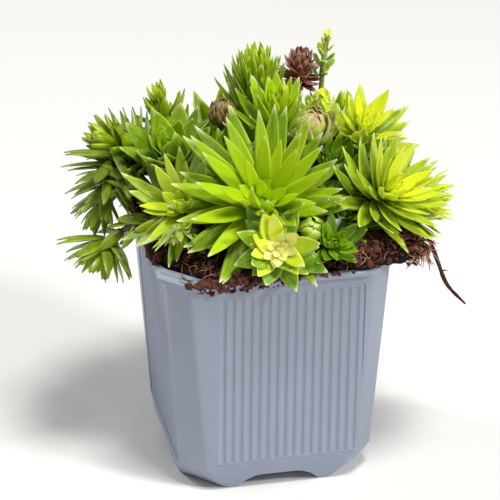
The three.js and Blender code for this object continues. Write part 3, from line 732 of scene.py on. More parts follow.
# the wall's rings lead up outside, over the rim and down inside: height, half the side, corner cut
potPlan = dict(
    outside=[(0, 36.8, 16), (4.2, 38.4, 13.5), (10.5, 39.2, 9), (93.3, 44.5, 8), (93.6, 46.7, 11.6),
             (94.2, 47, 12), (95.3, 47, 12), (95.85, 46.5, 11.9)],
    inside=[(96, 45.6, 13.5), (95.8, 44.2, 17), (95, 43.3, 17), (88, 42.7, 17), (84, 42.4, 8),
            (10.5, 37.4, 8), (7.5, 33.8, 12)],
    roundEdge=1.6, roundSteps=3, softEdge=0.35, softFrom=38, smoothFrom=35,
    slope=3.66, slopeBase=39.2, wallLow=10.5,
    panelHalf=29.6, panelShift=3.2, panelLow=11, panelHigh=89.5, panelDeep=0.38, panelEdge=1.2,
    flutes=16, flutePitch=3.5, fluteRadius=1.8, fluteSink=0.88, fluteLow=12.5, fluteHigh=88, fluteEdge=0.4,
    archHigh=5.4, archTop=11, archLow=16.5, archRound=4, archLong=100, archBelow=2,
    drainRadius=3.2, drainOffset=18, drainLong=20, drainMiddle=6, holeSides=28)


def makeRing(height, half, cut):
    selectNone()
    bpy.ops.mesh.primitive_plane_add(size=2 * half * mm, location=(0, 0, height * mm))
    ring = bpy.context.object
    placeInMesh(ring)
    startEdit(ring)
    for offset, steps in ((cut, 1), (potPlan["roundEdge"], potPlan["roundSteps"])):
        bpy.ops.mesh.select_all(action="SELECT")
        bpy.ops.mesh.bevel(affect="VERTICES", offset_type="OFFSET", offset=offset * mm, segments=steps)
    endEdit()
    return ring


def ringPlace(height, half):
    # true for a point of that ring
    near = potPlan["roundEdge"] * 0.85 * mm
    return lambda p: abs(p.z - height * mm) < tiny and -near < max(abs(p.x), abs(p.y)) - half * mm < tiny


def makePotBody():
    rings = potPlan["outside"] + potPlan["inside"]
    pot = joinPieces([makeRing(*ring) for ring in rings], "nursery_pot")
    startEdit(pot)
    # the first and the last ring keep their faces, as the underside and the floor inside
    ends = (rings[0][0] * mm, rings[-1][0] * mm)
    pickFaces(pot, lambda middle, normal: min(abs(middle.z - end) for end in ends) > tiny)
    bpy.ops.mesh.delete(type="ONLY_FACE")
    for (height, half, _), (nextHeight, nextHalf, _) in zip(rings, rings[1:]):
        inRing, inNext = ringPlace(height, half), ringPlace(nextHeight, nextHalf)
        pickEdges(pot, lambda a, b: inRing(a) and inRing(b) or inNext(a) and inNext(b))
        bpy.ops.mesh.bridge_edge_loops()
    endEdit(facesOut=True)
    return pot


def turnCopies(piece, count=4):
    # the same cutter on each side of the pot
    return [piece] + [copyOf(piece, Matrix.Rotation(k * math.pi / 2, 4, "Z")) for k in range(1, count)]


def cutWith(pot, cutter):
    applyModifier(pot, "BOOLEAN", object=cutter, operation="DIFFERENCE", solver="EXACT")
    bpy.data.objects.remove(cutter)


def leanOnWall(piece, height, sink=0):
    # stands the piece on the sloping front wall, its middle at that height and sunk out of it by so much
    out = potPlan["slopeBase"] + math.tan(math.radians(potPlan["slope"])) * (height - potPlan["wallLow"])
    piece.rotation_euler = (math.radians(potPlan["slope"]), 0, 0)
    piece.location = (potPlan["panelShift"] * mm, -(out + sink) * mm, height * mm)
    placeInMesh(piece)


def makePanelCutter():
    # a shallow plate with softened edges
    plan = potPlan
    tall = plan["panelHigh"] - plan["panelLow"]
    selectNone()
    bpy.ops.mesh.primitive_cube_add(size=1)
    plate = bpy.context.object
    plate.scale = (2 * plan["panelHalf"] * mm, 2 * plan["panelDeep"] * mm, tall * mm)
    placeInMesh(plate)
    startEdit(plate)
    pickEdges(plate, lambda a, b: abs(a.y - b.y) > tiny)
    bpy.ops.mesh.bevel(offset=plan["panelEdge"] * mm, segments=3)
    endEdit()
    leanOnWall(plate, (plan["panelHigh"] + plan["panelLow"]) / 2)
    return joinPieces(turnCopies(plate), "panel_cutter")


def makeFluteCutter():
    # a row of upright bars that leave the ribs between them
    plan = potPlan
    selectNone()
    bpy.ops.mesh.primitive_cylinder_add(vertices=plan["holeSides"], radius=plan["fluteRadius"] * mm,
                                        depth=(plan["fluteHigh"] - plan["fluteLow"]) * mm)
    flute = bpy.context.object
    startEdit(flute)
    pickFaces(flute, lambda middle, normal: abs(normal.z) > 0.9)
    bpy.ops.mesh.bevel(offset=plan["fluteEdge"] * mm, segments=2)
    endEdit()
    leanOnWall(flute, (plan["fluteHigh"] + plan["fluteLow"]) / 2, plan["fluteSink"])
    row = [copyOf(flute, Matrix.Translation(((k - (plan["flutes"] - 1) / 2) * plan["flutePitch"] * mm, 0, 0)))
           for k in range(plan["flutes"])]
    bpy.data.objects.remove(flute)
    return joinPieces(turnCopies(joinPieces(row, "flute_row")), "flute_cutter")


def makeArchCutter():
    # the low channel between the feet, wider at the table
    plan = potPlan
    selectNone()
    bpy.ops.mesh.primitive_cube_add(size=1)
    arch = bpy.context.object
    arch.scale = (2 * plan["archLow"] * mm, plan["archLong"] * mm, plan["archHigh"] * mm)
    arch.location = (0, 0, plan["archHigh"] / 2 * mm)
    placeInMesh(arch)
    startEdit(arch)
    pickFaces(arch, lambda middle, normal: normal.z > 0.9)
    bpy.ops.transform.resize(value=(plan["archTop"] / plan["archLow"], 1, 1), center_override=(0, 0, 0))
    pickEdges(arch, lambda a, b: min(a.z, b.z) > 1e-4 and abs(a.y - b.y) > 1e-4)
    bpy.ops.mesh.bevel(offset=plan["archRound"] * mm, segments=5)
    pickFaces(arch, lambda middle, normal: normal.z < -0.9)
    drawOut(0, 0, -plan["archBelow"] * mm)
    endEdit()
    return arch


def makeDrainCutter():
    plan, holes = potPlan, []
    far = plan["drainOffset"] * mm
    for x, y in ((0, 0), (1, 1), (1, -1), (-1, 1), (-1, -1)):
        selectNone()
        bpy.ops.mesh.primitive_cylinder_add(
            vertices=plan["holeSides"], radius=plan["drainRadius"] * mm, depth=plan["drainLong"] * mm,
            location=(x * far, y * far, plan["drainMiddle"] * mm))
        hole = bpy.context.object
        placeInMesh(hole)
        holes.append(hole)
    return joinPieces(holes, "drain_cutter")


def makePot():
    pot = makePotBody()
    arches = turnCopies(makeArchCutter(), 2)
    for cutter in (makePanelCutter(), makeFluteCutter(), *arches, makeDrainCutter()):
        cutWith(pot, cutter)
    pot.location = potMiddle
    placeInMesh(pot)
    applyModifier(pot, "BEVEL", width=potPlan["softEdge"] * mm, segments=2, limit_method="ANGLE",
                  angle_limit=math.radians(potPlan["softFrom"]), use_clamp_overlap=True, loop_slide=False)
    selectOnly(pot)
    bpy.ops.object.shade_smooth_by_angle(angle=math.radians(potPlan["smoothFrom"]))
    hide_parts("pot")
    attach(pot, "root")
    return pot


potPiece = makePot()
print("pot made:", len(potPiece.data.polygons), "faces")


soilLook = dict(
    voxel=1.25, rough=1.5, coarse=200, fine=620, fineShare=0.6, sink=0.25, openFrom=0.093, openOver=0.003,
    dropFrom=125, dropFar=0.05, lowest=0.09)
# how many crumbs and fibres lie where, and how they are spread from side to side and from front to back
crumbPlan = dict(
    shapes=8, uneven=0.3, size=(0.4, 1.8), bite=0.35,
    spread=2000, spreadHalf=43, onHeap=800, heapSpread=(12, 9),
    onRim=560, rimAlong=(-42, -22, 34), rimAcross=(-45, 1.5),
    onLeft=560, leftAlong=(-26, 42), leftAcross=(-45, 1.3),
    stuck=280, stuckAlong=(-38, -22, 6), stuckFrom=96, stuckDeep=4.5, stuckScale=0.7, held=2, heldScale=0.9)
fibrePlan = dict(
    length=(4, 13), bend=0.5, thick=(0.1, 0.22), steps=6, sides=4, firstThick=0.5, lastThick=0.4,
    above=0.7, uneven=0.25, spread=560, spreadHalf=42, spreadLift=1.6,
    onHeap=270, heapSpread=(11, 8), heapLift=2.5, onRim=90, rimHalf=36, rimAcross=(-43, 1.5), rimLift=0.8)
hangingPlan = dict(
    fibres=230, angles=(-44, -6), peak=-24, wide=14, drop=(2, 9), least=0.2, lean=(0.5, 4), sway=3,
    curl=(0.3, 1.6), curlTurn=5, steps=8, thicker=1.3, startOut=85, startHigh=(96.5, 101), reach=0.06)
dice = np.random.default_rng(4)


def roughen(piece):
    # lifts and sinks the open surface into clods, and leaves what lies against the pot alone
    look = soilLook
    for vertex in piece.data.vertices:
        bare = min(1, max(0, (vertex.co.z - look["openFrom"]) / look["openOver"]))
        if bare:
            at = vertex.co
            push = noise.noise(at * look["coarse"]) + look["fineShare"] * noise.noise(at * look["fine"])
            vertex.co += vertex.normal * (push - look["sink"]) * look["rough"] * mm * bare
    piece.data.shade_smooth()


def makeSoil():
    piece = copyOf(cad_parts["soil"])
    piece.parent = None
    for key in list(piece.keys()):
        del piece[key]
    piece.name = piece.data.name = "peat_fill"
    piece.hide_render = piece.hide_viewport = False
    startEdit(piece)
    bpy.ops.mesh.select_all(action="SELECT")
    bpy.ops.mesh.remove_doubles(threshold=1e-6)
    endEdit(facesOut=True)
    applyModifier(piece, "REMESH", mode="VOXEL", voxel_size=soilLook["voxel"] * mm)
    roughen(piece)
    return piece


soilPiece = makeSoil()
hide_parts("soil")
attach(soilPiece, "root")
print("soil made:", len(soilPiece.data.polygons), "faces")


ground = treeOf([soilPiece])
rimGround = treeOf([soilPiece, potPiece])


def dropOn(tree, x, y):
    # where something that falls at x, y in millimetres comes to rest
    start = Vector(toScene((x, y, soilLook["dropFrom"])))
    spot, normal, _, _ = tree.ray_cast(start, Vector((0, 0, -1)), soilLook["dropFar"])
    return (None, None) if spot is None or spot.z < soilLook["lowest"] else (np.array(spot), np.array(normal))


def onHeap(spread):
    # a place near the top of the heap
    return [middle + dice.normal(0, wide) for middle, wide in zip(soilPlan["heap"], spread)]


def clumpFoot():
    # a place on the soil's outer face, where the clump hangs over the rim's corner
    plan = hangingPlan
    low, high = plan["angles"]
    angle = math.radians(dice.triangular(low, plan["peak"], high))
    out = np.array([math.cos(angle), math.sin(angle), 0])
    start = toScene(out * plan["startOut"] + (0, 0, dice.uniform(*plan["startHigh"])))
    spot = rimGround.ray_cast(Vector(start), Vector(-out), plan["reach"])[0]
    return (None if spot is None else (np.array(spot) - potMiddle) / mm - out), out


def makeFibre(x, y, tree, lift):
    # a fibre that lies along the ground and lifts a little at its ends
    plan, steps = fibrePlan, fibrePlan["steps"]
    length = dice.uniform(*plan["length"])
    heading, bend = dice.uniform(0, 2 * math.pi), dice.normal(0, plan["bend"])
    thick = dice.uniform(*plan["thick"])
    path, at = [], np.array([x, y], float)
    for n in range(steps):
        spot, normal = dropOn(tree, *at)
        if spot is None:
            return None
        share = n / (steps - 1)
        rise = thick * plan["above"] + lift * (2 * share - 1) ** 2 + dice.uniform(0, plan["uneven"])
        path.append((spot + normal * rise * mm - potMiddle) / mm)
        at = at + length / (steps - 1) * np.array([math.cos(heading), math.sin(heading)])
        heading += bend
    radii = thick * np.array([plan["firstThick"]] + [1] * (steps - 2) + [plan["lastThick"]])
    points, faces = sweepBar(path, radii, plan["sides"])
    return toScene(points), faces, dict(crumbTint=dice.random())


heldSpots = []


def makeHangingFibre():
    # a fibre that comes out of the clump and hangs down
    plan, steps = hangingPlan, hangingPlan["steps"]
    foot, out = clumpFoot()
    drop, lean = dice.uniform(*plan["drop"]), dice.uniform(*plan["lean"])
    sway = dice.normal(0, plan["sway"], 3)
    curlStart, curlWide = dice.uniform(0, 6.3), dice.uniform(*plan["curl"])
    thick = dice.uniform(*fibrePlan["thick"]) * plan["thicker"]
    tint = dice.random()
    if foot is None:
        return None
    # the fall is shorter towards both ends of the clump
    angle = math.degrees(math.atan2(out[1], out[0]))
    drop *= math.exp(-((angle - plan["peak"]) / plan["wide"]) ** 2) + plan["least"]
    path = []
    for t in np.linspace(0, 1, steps):
        turn = curlStart + plan["curlTurn"] * t
        curl = np.array([math.cos(turn), math.sin(turn), 0.5 * math.sin(7 * t)]) * curlWide * t
        fall = np.array([0, 0, drop]) * t * t
        path.append(foot + out * lean * math.sin(1.5 * t) + sway * t * (1, 1, 0.3) - fall + curl)
    held = dice.integers(1, steps - 2, crumbPlan["held"])
    heldSpots.extend((toScene(path[n]), out, crumbPlan["heldScale"]) for n in held)
    radii = thick * np.array([1] * (steps - 1) + [fibrePlan["lastThick"]])
    points, faces = sweepBar(path, radii, fibrePlan["sides"])
    return toScene(points), faces, dict(crumbTint=tint)


def makeFibres():
    plan = fibrePlan
    half, rimHalf = plan["spreadHalf"], plan["rimHalf"]
    copies = [makeFibre(*dice.uniform(-half, half, 2), ground, dice.uniform(0, plan["spreadLift"]))
              for _ in range(plan["spread"])]
    copies += [makeFibre(*onHeap(plan["heapSpread"]), rimGround, dice.uniform(0, plan["heapLift"]))
               for _ in range(plan["onHeap"])]
    copies += [makeFibre(dice.uniform(-rimHalf, rimHalf), dice.normal(*plan["rimAcross"]), rimGround,
                         dice.uniform(0, plan["rimLift"])) for _ in range(plan["onRim"])]
    copies += [makeHangingFibre() for _ in range(hangingPlan["fibres"])]
    return meshFrom("coir_fibres", [copy for copy in copies if copy])


def makeCrumbBlank():
    selectNone()
    bpy.ops.mesh.primitive_ico_sphere_add(subdivisions=1, radius=1)
    piece = bpy.context.object
    startEdit(piece)
    bpy.ops.mesh.select_all(action="SELECT")
    bpy.ops.transform.resize(value=(1.15, 0.9, 0.75), center_override=(0, 0, 0))
    endEdit()
    return Blank(piece)


def crumbSpots():
    # each with the face that it lies on and a share of the usual size
    plan, half = crumbPlan, crumbPlan["spreadHalf"]
    spots = [(*dice.uniform(-half, half, 2), ground) for _ in range(plan["spread"])]
    spots += [(*onHeap(plan["heapSpread"]), rimGround) for _ in range(plan["onHeap"])]
    spots += [(dice.triangular(*plan["rimAlong"]), dice.normal(*plan["rimAcross"]), rimGround)
              for _ in range(plan["onRim"])]
    spots += [(dice.normal(*plan["leftAcross"]), dice.uniform(*plan["leftAlong"]), rimGround)
              for _ in range(plan["onLeft"])]
    spots = [(*dropOn(tree, x, y), 1) for x, y, tree in spots]
    # those that stick to the front of the rim
    for _ in range(plan["stuck"]):
        along = dice.triangular(*plan["stuckAlong"])
        start = toScene((along, -60, plan["stuckFrom"] - plan["stuckDeep"] * dice.random() ** 1.7))
        spots.append((*rimGround.ray_cast(Vector(start), Vector((0, 1, 0)), 0.03)[:2], plan["stuckScale"]))
    return spots + heldSpots


def makeCrumbs():
    plan, blank, copies = crumbPlan, makeCrumbBlank(), []
    shapes = [blank.points * (1 + plan["uneven"] * dice.uniform(-1, 1, (len(blank.points), 1)))
              for _ in range(plan["shapes"])]
    low, high = plan["size"]
    for spot, normal, scale in crumbSpots():
        size = (low + (high - low) * dice.random() ** 4) * scale
        turn = Matrix(np.linalg.qr(dice.normal(size=(3, 3)))[0].tolist())
        shape = shapes[dice.integers(len(shapes))]
        tint = dice.random()
        if spot is None:
            continue
        points = (shape @ np.array(turn).T) * size * mm * dice.uniform(0.7, 1.3, 3) + np.array(spot)
        points += np.array(normal) * size * plan["bite"] * mm
        # a turn that mirrors the shape gets its faces flipped
        faces = blank.faces if turn.determinant() > 0 else [face[::-1] for face in blank.faces]
        copies.append((points, faces, dict(crumbTint=tint)))
    piece = meshFrom("peat_crumbs", copies)
    piece.data.shade_flat()
    return piece


fibrePiece, crumbPiece = makeFibres(), makeCrumbs()
for piece in (crumbPiece, fibrePiece):
    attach(piece, "root")
print("crumbs and fibres made")


runnerPlan = dict(
    path=[(39.5, -26.5, 97), (51.5, -27, 105), (60.5, -27.7, 99.5), (64.7, -30, 89), (68.3, -32.5, 79),
          (75.5, -34.5, 70.5)],
    thick=0.9, uneven=0.14, steps=30, sides=8, scales=7, scaleLong=2.1, scaleTurn=2.4, scaleSides=4,
    scaleRadii=[0.4, 0.3, 0.08])


def smoothPath(points, count):
    # an even curve through the points
    points = np.array(points, float)
    padded = np.vstack([2 * points[0] - points[1], points, 2 * points[-1] - points[-2]])
    out = []
    for s in np.linspace(0, len(points) - 1, count):
        k = min(int(s), len(points) - 2)
        t = s - k
        a, b, c, d = padded[k:k + 4]
        out.append(0.5 * (2 * b + (c - a) * t + (2 * a - 5 * b + 4 * c - d) * t * t
                          + (3 * b - a - 3 * c + d) * t ** 3))
    return np.array(out)


def makeRunner():
    plan, steps = runnerPlan, runnerPlan["steps"]
    path = smoothPath(plan["path"], steps)
    radii = plan["thick"] * np.array([1 + plan["uneven"] * wobble(5, n) for n in range(steps)])
    radii *= np.interp(np.arange(steps), [0, steps - 6, steps - 1], [1, 0.9, 0.45])
    points, faces = sweepBar(path, radii, plan["sides"])
    copies = [(toScene(points), faces, dict(crumbTint=0.4))]
    for k in range(plan["scales"]):
        # short dry scales along the runner
        at = path[5 + int((steps - 8) * k / plan["scales"])]
        angle = k * plan["scaleTurn"]
        out = np.array([math.cos(angle), math.sin(angle), 0.4]) * plan["scaleLong"]
        scale = [at, at + out * 0.5 + (0.6, 0, 0), at + out + (0.8, 0, -0.6)]
        points, faces = sweepBar(scale, plan["scaleRadii"], plan["scaleSides"])
        copies.append((toScene(points), faces, dict(crumbTint=0.8)))
    return meshFrom("dry_runner", copies)


runnerPiece = makeRunner()
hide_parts("runner")
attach(runnerPiece, "root")
print("runner made")


def paint(code):
    # a screen colour as the shader wants it
    parts = [int(code[i:i + 2], 16) / 255 for i in (1, 3, 5)]
    return tuple(p / 12.92 if p <= 0.04045 else ((p + 0.055) / 1.055) ** 2.4 for p in parts) + (1,)


def put(tree, kind, inputs=None, **settings):
    # adds a node, sets it up, and wires or fills its inputs
    made = tree.nodes.new("ShaderNode" + kind)
    for name, value in settings.items():
        setattr(made, name, value)
    for name, value in (inputs or {}).items():
        if isinstance(value, bpy.types.NodeSocket):
            tree.links.new(value, made.inputs[name])
        else:
            made.inputs[name].default_value = value
    return made


def blendColors(tree, share, a, b):
    return put(tree, "Mix", {0: share, 6: a, 7: b}, data_type="RGBA").outputs[2]


def plus(tree, a, b):
    return put(tree, "Math", {0: a, 1: b}, operation="ADD").outputs[0]


def minus(tree, a, b):
    return put(tree, "Math", {0: a, 1: b}, operation="SUBTRACT").outputs[0]


def times(tree, a, b, clamp=False):
    return put(tree, "Math", {0: a, 1: b}, operation="MULTIPLY", use_clamp=clamp).outputs[0]


def between(tree, value, low, high, start=0.0, end=1.0):
    # a soft step from low to high
    steps = {"Value": value, "From Min": low, "From Max": high, "To Min": start, "To Max": end}
    return put(tree, "MapRange", steps, interpolation_type="SMOOTHSTEP").outputs[0]


def clouds(tree, spot, scale, detail, rough=0.5):
    values = {"Vector": spot, "Scale": scale, "Detail": detail, "Roughness": rough}
    return put(tree, "TexNoise", values).outputs["Fac"]


def ownSpot(tree):
    return put(tree, "TexCoord").outputs["Object"]


def readMark(tree, name):
    return put(tree, "Attribute", attribute_name=name).outputs["Fac"]


def addDents(tree, shader, strength, distance, height):
    dents = put(tree, "Bump", {"Strength": strength, "Distance": distance, "Height": height})
    tree.links.new(dents.outputs[0], shader["Normal"])


def newGroup(name, colors, numbers, masks):
    # it takes the named colours and numbers, and gives a colour and the named masks
    group = bpy.data.node_groups.new(name, "ShaderNodeTree")
    for kind, inputs in (("NodeSocketColor", colors), ("NodeSocketFloat", numbers)):
        for label, value in inputs.items():
            group.interface.new_socket(name=label, in_out="INPUT", socket_type=kind).default_value = value
    group.interface.new_socket(name="Color", in_out="OUTPUT", socket_type="NodeSocketColor")
    for label in masks:
        group.interface.new_socket(name=label, in_out="OUTPUT", socket_type="NodeSocketFloat")
    return group, group.nodes.new("NodeGroupInput").outputs, group.nodes.new("NodeGroupOutput").inputs


def useGroup(tree, group, inputs):
    return put(tree, "Group", inputs, node_tree=group).outputs


def makeMottleGroup():
    # two sizes of cloudy variation and scattered specks, on the piece's own coordinates
    group, given, out = newGroup(
        "mottle",
        {"Color": (0.5, 0.5, 0.5, 1), "Second Color": (0.3, 0.3, 0.3, 1), "Speck Color": (0.1, 0.1, 0.1, 1)},
        {"Scale": 60.0, "Amount": 0.5, "Speck Scale": 900.0, "Speck Share": 0.1}, ["Cloud", "Specks"])
    spot = ownSpot(group)
    cloud = clouds(group, spot, given["Scale"], 6, 0.62)
    share = times(group, between(group, cloud, 0.35, 0.68), given["Amount"])
    base = blendColors(group, share, given["Color"], given["Second Color"])
    grain = clouds(group, spot, given["Speck Scale"], 2)
    low = minus(group, 0.78, times(group, given["Speck Share"], 0.5))
    specks = between(group, grain, low, plus(group, low, 0.05))
    group.links.new(blendColors(group, specks, base, given["Speck Color"]), out["Color"])
    group.links.new(cloud, out["Cloud"])
    group.links.new(specks, out["Specks"])
    return group


def makeLeafGroup():
    # a fleshy leaf: pale edge, a root colour that is mostly a darker painted shade, a pale tip that is partly
    # a painted highlight, fine lines along it, its own tint, and older leaves deeper, partly as painted shade
    group, given, out = newGroup(
        "leafSkin",
        {"Base": (0.3, 0.45, 0.05, 1), "Deep": (0.15, 0.3, 0.04, 1), "Edge": (0.6, 0.7, 0.3, 1),
         "Tip": (0.6, 0.6, 0.3, 1), "Root And Shade": (0.6, 0.7, 0.3, 1), "Old": (0.3, 0.15, 0.05, 1),
         "Young": (0.6, 0.7, 0.05, 1), "Heart": (0.6, 0.7, 0.05, 1)},
        {"Young Reach": 0.3, "Tip From": 0.86, "Edge Width": 0.22, "Edge Amount": 0.7, "Depth": 0.6,
         "Wear": 0.2},
        ["Roughness", "Height"])
    marks = ("leafAlong", "leafAcross", "leafTint", "leafAge", "leafUnder")
    along, across, tint, age, under = (readMark(group, mark) for mark in marks)
    fromMiddle = put(group, "Math", {0: across}, operation="ABSOLUTE").outputs[0]
    spot = ownSpot(group)
    lane = put(group, "CombineXYZ", {"X": times(group, across, 7.0), "Y": times(group, along, 1.6),
                                     "Z": times(group, tint, 40.0)}).outputs[0]
    lines = clouds(group, lane, 1.6, 3, 0.55)
    cloud = clouds(group, spot, 230.0, 4, 0.6)
    fine = clouds(group, spot, 2600.0, 1)
    unevenly = minus(group, cloud, 0.5)
    # deeper where the leaf is old, which on the outer, lower leaves is partly painted shade, along its middle
    # and in the clouds
    middle = between(group, fromMiddle, 0.0, 0.75, 1.0, 0.0)
    deep = plus(group, times(group, age, 0.6), times(group, middle, 0.28))
    deep = plus(group, deep, times(group, minus(group, tint, 0.5), 0.5))
    deep = plus(group, deep, times(group, unevenly, 1.3))
    deep = times(group, deep, given["Depth"], clamp=True)
    color = blendColors(group, deep, given["Base"], given["Deep"])
    # fresher towards the middle of the rosette
    reach = given["Young Reach"]
    fresh = between(group, age, minus(group, reach, 0.15), plus(group, reach, 0.15), 1.0, 0.0)
    color = blendColors(group, fresh, color, given["Young"])
    color = blendColors(group, between(group, age, 0.02, 0.2, 1.0, 0.0), color, given["Heart"])
    color = blendColors(group, times(group, between(group, lines, 0.42, 0.66), 0.28), color, given["Edge"])
    # the pale edge, a little uneven, then the root colour, mostly a darker painted shade towards the leaf's
    # base, and the pale tip, partly a painted highlight
    edge = between(group, plus(group, fromMiddle, times(group, unevenly, 0.16)),
                   minus(group, 1.0, given["Edge Width"]), 1.0)
    color = blendColors(group, times(group, edge, given["Edge Amount"]), color, given["Edge"])
    color = blendColors(group, between(group, along, 0.34, 0.0, 0.0, 0.75), color, given["Root And Shade"])
    # the pale tip is partly the leaf's own paler tip and partly a painted highlight
    tipShare = times(group, between(group, along, given["Tip From"], 1.0, 0.0, 0.9),
                     between(group, age, 0.0, 0.4, 0.3, 1.0))
    color = blendColors(group, tipShare, color, given["Tip"])
    # the underside takes some of the root colour too, a painted shade where that colour is dark
    color = blendColors(group, times(group, under, 0.22), color, given["Root And Shade"])
    # brown scars, mostly on old leaves and tips
    scarShare = times(group, plus(group, age, along), given["Wear"])
    scarLow = minus(group, 0.86, times(group, scarShare, 0.28))
    scars = between(group, clouds(group, spot, 520.0, 3, 0.7), scarLow, plus(group, scarLow, 0.05))
    group.links.new(blendColors(group, times(group, scars, 0.7), color, given["Old"]), out["Color"])
    rough = plus(group, 0.22, times(group, cloud, 0.26))
    group.links.new(plus(group, rough, times(group, scars, 0.25)), out["Roughness"])
    height = plus(group, times(group, lines, 0.55), times(group, cloud, 0.35))
    height = plus(group, height, times(group, fine, 0.1))
    group.links.new(minus(group, height, times(group, scars, 0.3)), out["Height"])
    return group


mottleGroup, leafGroup = makeMottleGroup(), makeLeafGroup()


def newFinish(name, **sockets):
    material = bpy.data.materials.new(name)
    material.use_nodes = True
    tree = material.node_tree
    tree.nodes.clear()
    shader = put(tree, "BsdfPrincipled", sockets)
    tree.links.new(shader.outputs[0], put(tree, "OutputMaterial").inputs["Surface"])
    return material, tree, shader.inputs


def makeLeafFinish(name, base, deep, edge, tip, root, young, heart=None, old="#6B4A26",
                   stem=("#6B4A26", "#7C8430"), width=0.2, edgeAmount=0.5, depth=0.8, wear=0.25, bump=0.25,
                   youngReach=0.3, tipFrom=0.86, **sockets):
    looks = {"Subsurface Weight": 0.1, "Subsurface Radius": (1.0, 0.8, 0.1), "Subsurface Scale": 0.0015,
             "Coat Weight": 0.35, "Coat Roughness": 0.2, "IOR": 1.42}
    material, tree, shader = newFinish(name, **{**looks, **sockets})
    skin = useGroup(tree, leafGroup, {
        "Base": paint(base), "Deep": paint(deep), "Edge": paint(edge), "Tip": paint(tip), "Root And Shade": paint(root),
        "Old": paint(old), "Young": paint(young), "Heart": paint(heart or young), "Young Reach": youngReach,
        "Tip From": tipFrom, "Edge Width": width, "Edge Amount": edgeAmount, "Depth": depth, "Wear": wear})
    # the stem and the hidden middle have a duller skin
    bark = between(tree, clouds(tree, ownSpot(tree), 160.0, 3), 0.35, 0.75)
    skinOfStem = blendColors(tree, bark, *map(paint, stem))
    color = blendColors(tree, readMark(tree, "leafPart"), skinOfStem, skin["Color"])
    tree.links.new(color, shader["Base Color"])
    tree.links.new(skin["Roughness"], shader["Roughness"])
    addDents(tree, shader, bump, 0.0006, skin["Height"])
    return material


dry = {"Subsurface Weight": 0.0, "Coat Weight": 0.0}
# base, deep, edge, tip and root colours first; the root colour mostly stands for painted shade at the leaf's
# base, and the pale tips are partly a painted highlight
leafFinishes = {
    "leaf": makeLeafFinish("leaf_green", "#92B600", "#337000", "#DAE84E", "#ECF2B4", "#7CA60A",
                           young="#AACC00", heart="#C6E400", youngReach=0.5),
    "broad": makeLeafFinish("leaf_broad_green", "#8AAE08", "#2C6000", "#BED050", "#D4DE82", "#5C8A08",
                            young="#94BA0A"),
    # a darker copy of the leaf green for the rosettes that lie low and under others: painted shade
    "deep": makeLeafFinish("leaf_shaded_green", "#5E8E04", "#204A00", "#A0C03C", "#B2C256", "#3E6A04",
                           young="#82AC0C"),
    "bright": makeLeafFinish("leaf_bright_green", "#C0D800", "#5E9200", "#F2F688", "#F8F8BA", "#9CBC0C",
                             young="#DCEA06", heart="#ECF400"),
    "star": makeLeafFinish("leaf_star_green", "#AECA06", "#508400", "#E8EE80", "#F4F6B6", "#7C9E08",
                           young="#C2D80C", heart="#CCE010", youngReach=0.4),
    "pale": makeLeafFinish("leaf_pale_green", "#84B200", "#4C8200", "#E0EA80", "#E6EC88", "#F0F294",
                           young="#DAEA20", heart="#F8F696", stem=("#8C9A40", "#B8C860"), edgeAmount=0.75,
                           youngReach=0.5),
    "budPale": makeLeafFinish("closed_bud_pale", "#BED838", "#7CAC18", "#DEEA70", "#E8F28E", "#8CB222",
                              young="#DAEA50", width=0.26, youngReach=0.5, tipFrom=0.74),
    "shoot": makeLeafFinish("shoot_green", "#A0BE10", "#3E6A06", "#CAD64E", "#4E5A1C", "#5E7A10",
                            young="#ACC60C", youngReach=0.35),
    "shootDeep": makeLeafFinish("shoot_deep_green", "#8CA61A", "#2A5006", "#BCCA58", "#404A16", "#3E5A0C",
                                young="#A2BE1C"),
    "bud": makeLeafFinish("closed_bud", "#D8E660", "#A6BE38", "#FCF4CC", "#D09A80", "#BCD048",
                          young="#DCBC88", width=0.26, edgeAmount=0.8, youngReach=0.22, tipFrom=0.76),
    "driedGreen": makeLeafFinish("dried_head_green", "#8A7434", "#45300F", "#DCB898", "#C88E72", "#7C7A2C",
                                 young="#8C8A3C", old="#3A2412", edgeAmount=0.6, wear=0.45, bump=0.8,
                                 tipFrom=0.72, **dry),
    "dried": makeLeafFinish("dried_head", "#A65640", "#3C160C", "#ECC8B6", "#E6B8A8", "#6A3018",
                            young="#A06A54", old="#301810", wear=0.5, bump=0.8, tipFrom=0.6, **dry),
}
ownFinishes = {"shoot_left_fan": "shoot", "shoot_left_hang": "shoot", "rosette_left_back": "shoot",
               "shoot_left_trail": "shootDeep", "rosette_left_broad": "broad", "bud_front": "budPale",
               "head_dried_front": "driedGreen", "rosette_left_star": "star"}
for name, piece in headPieces.items():
    finish = ownFinishes.get(name, heads[name]["finish"])
    piece.data.materials.append(leafFinishes[finish])


potLook = dict(plastic="#69748A", film="#758097", dust="#B4BAC6", stain="#5B5348", wornAndHighlight="#AEB6C6",
               creaseShade="#565F70", rough=0.36, roughMore=0.24, grain=0.12, dents=0.25)


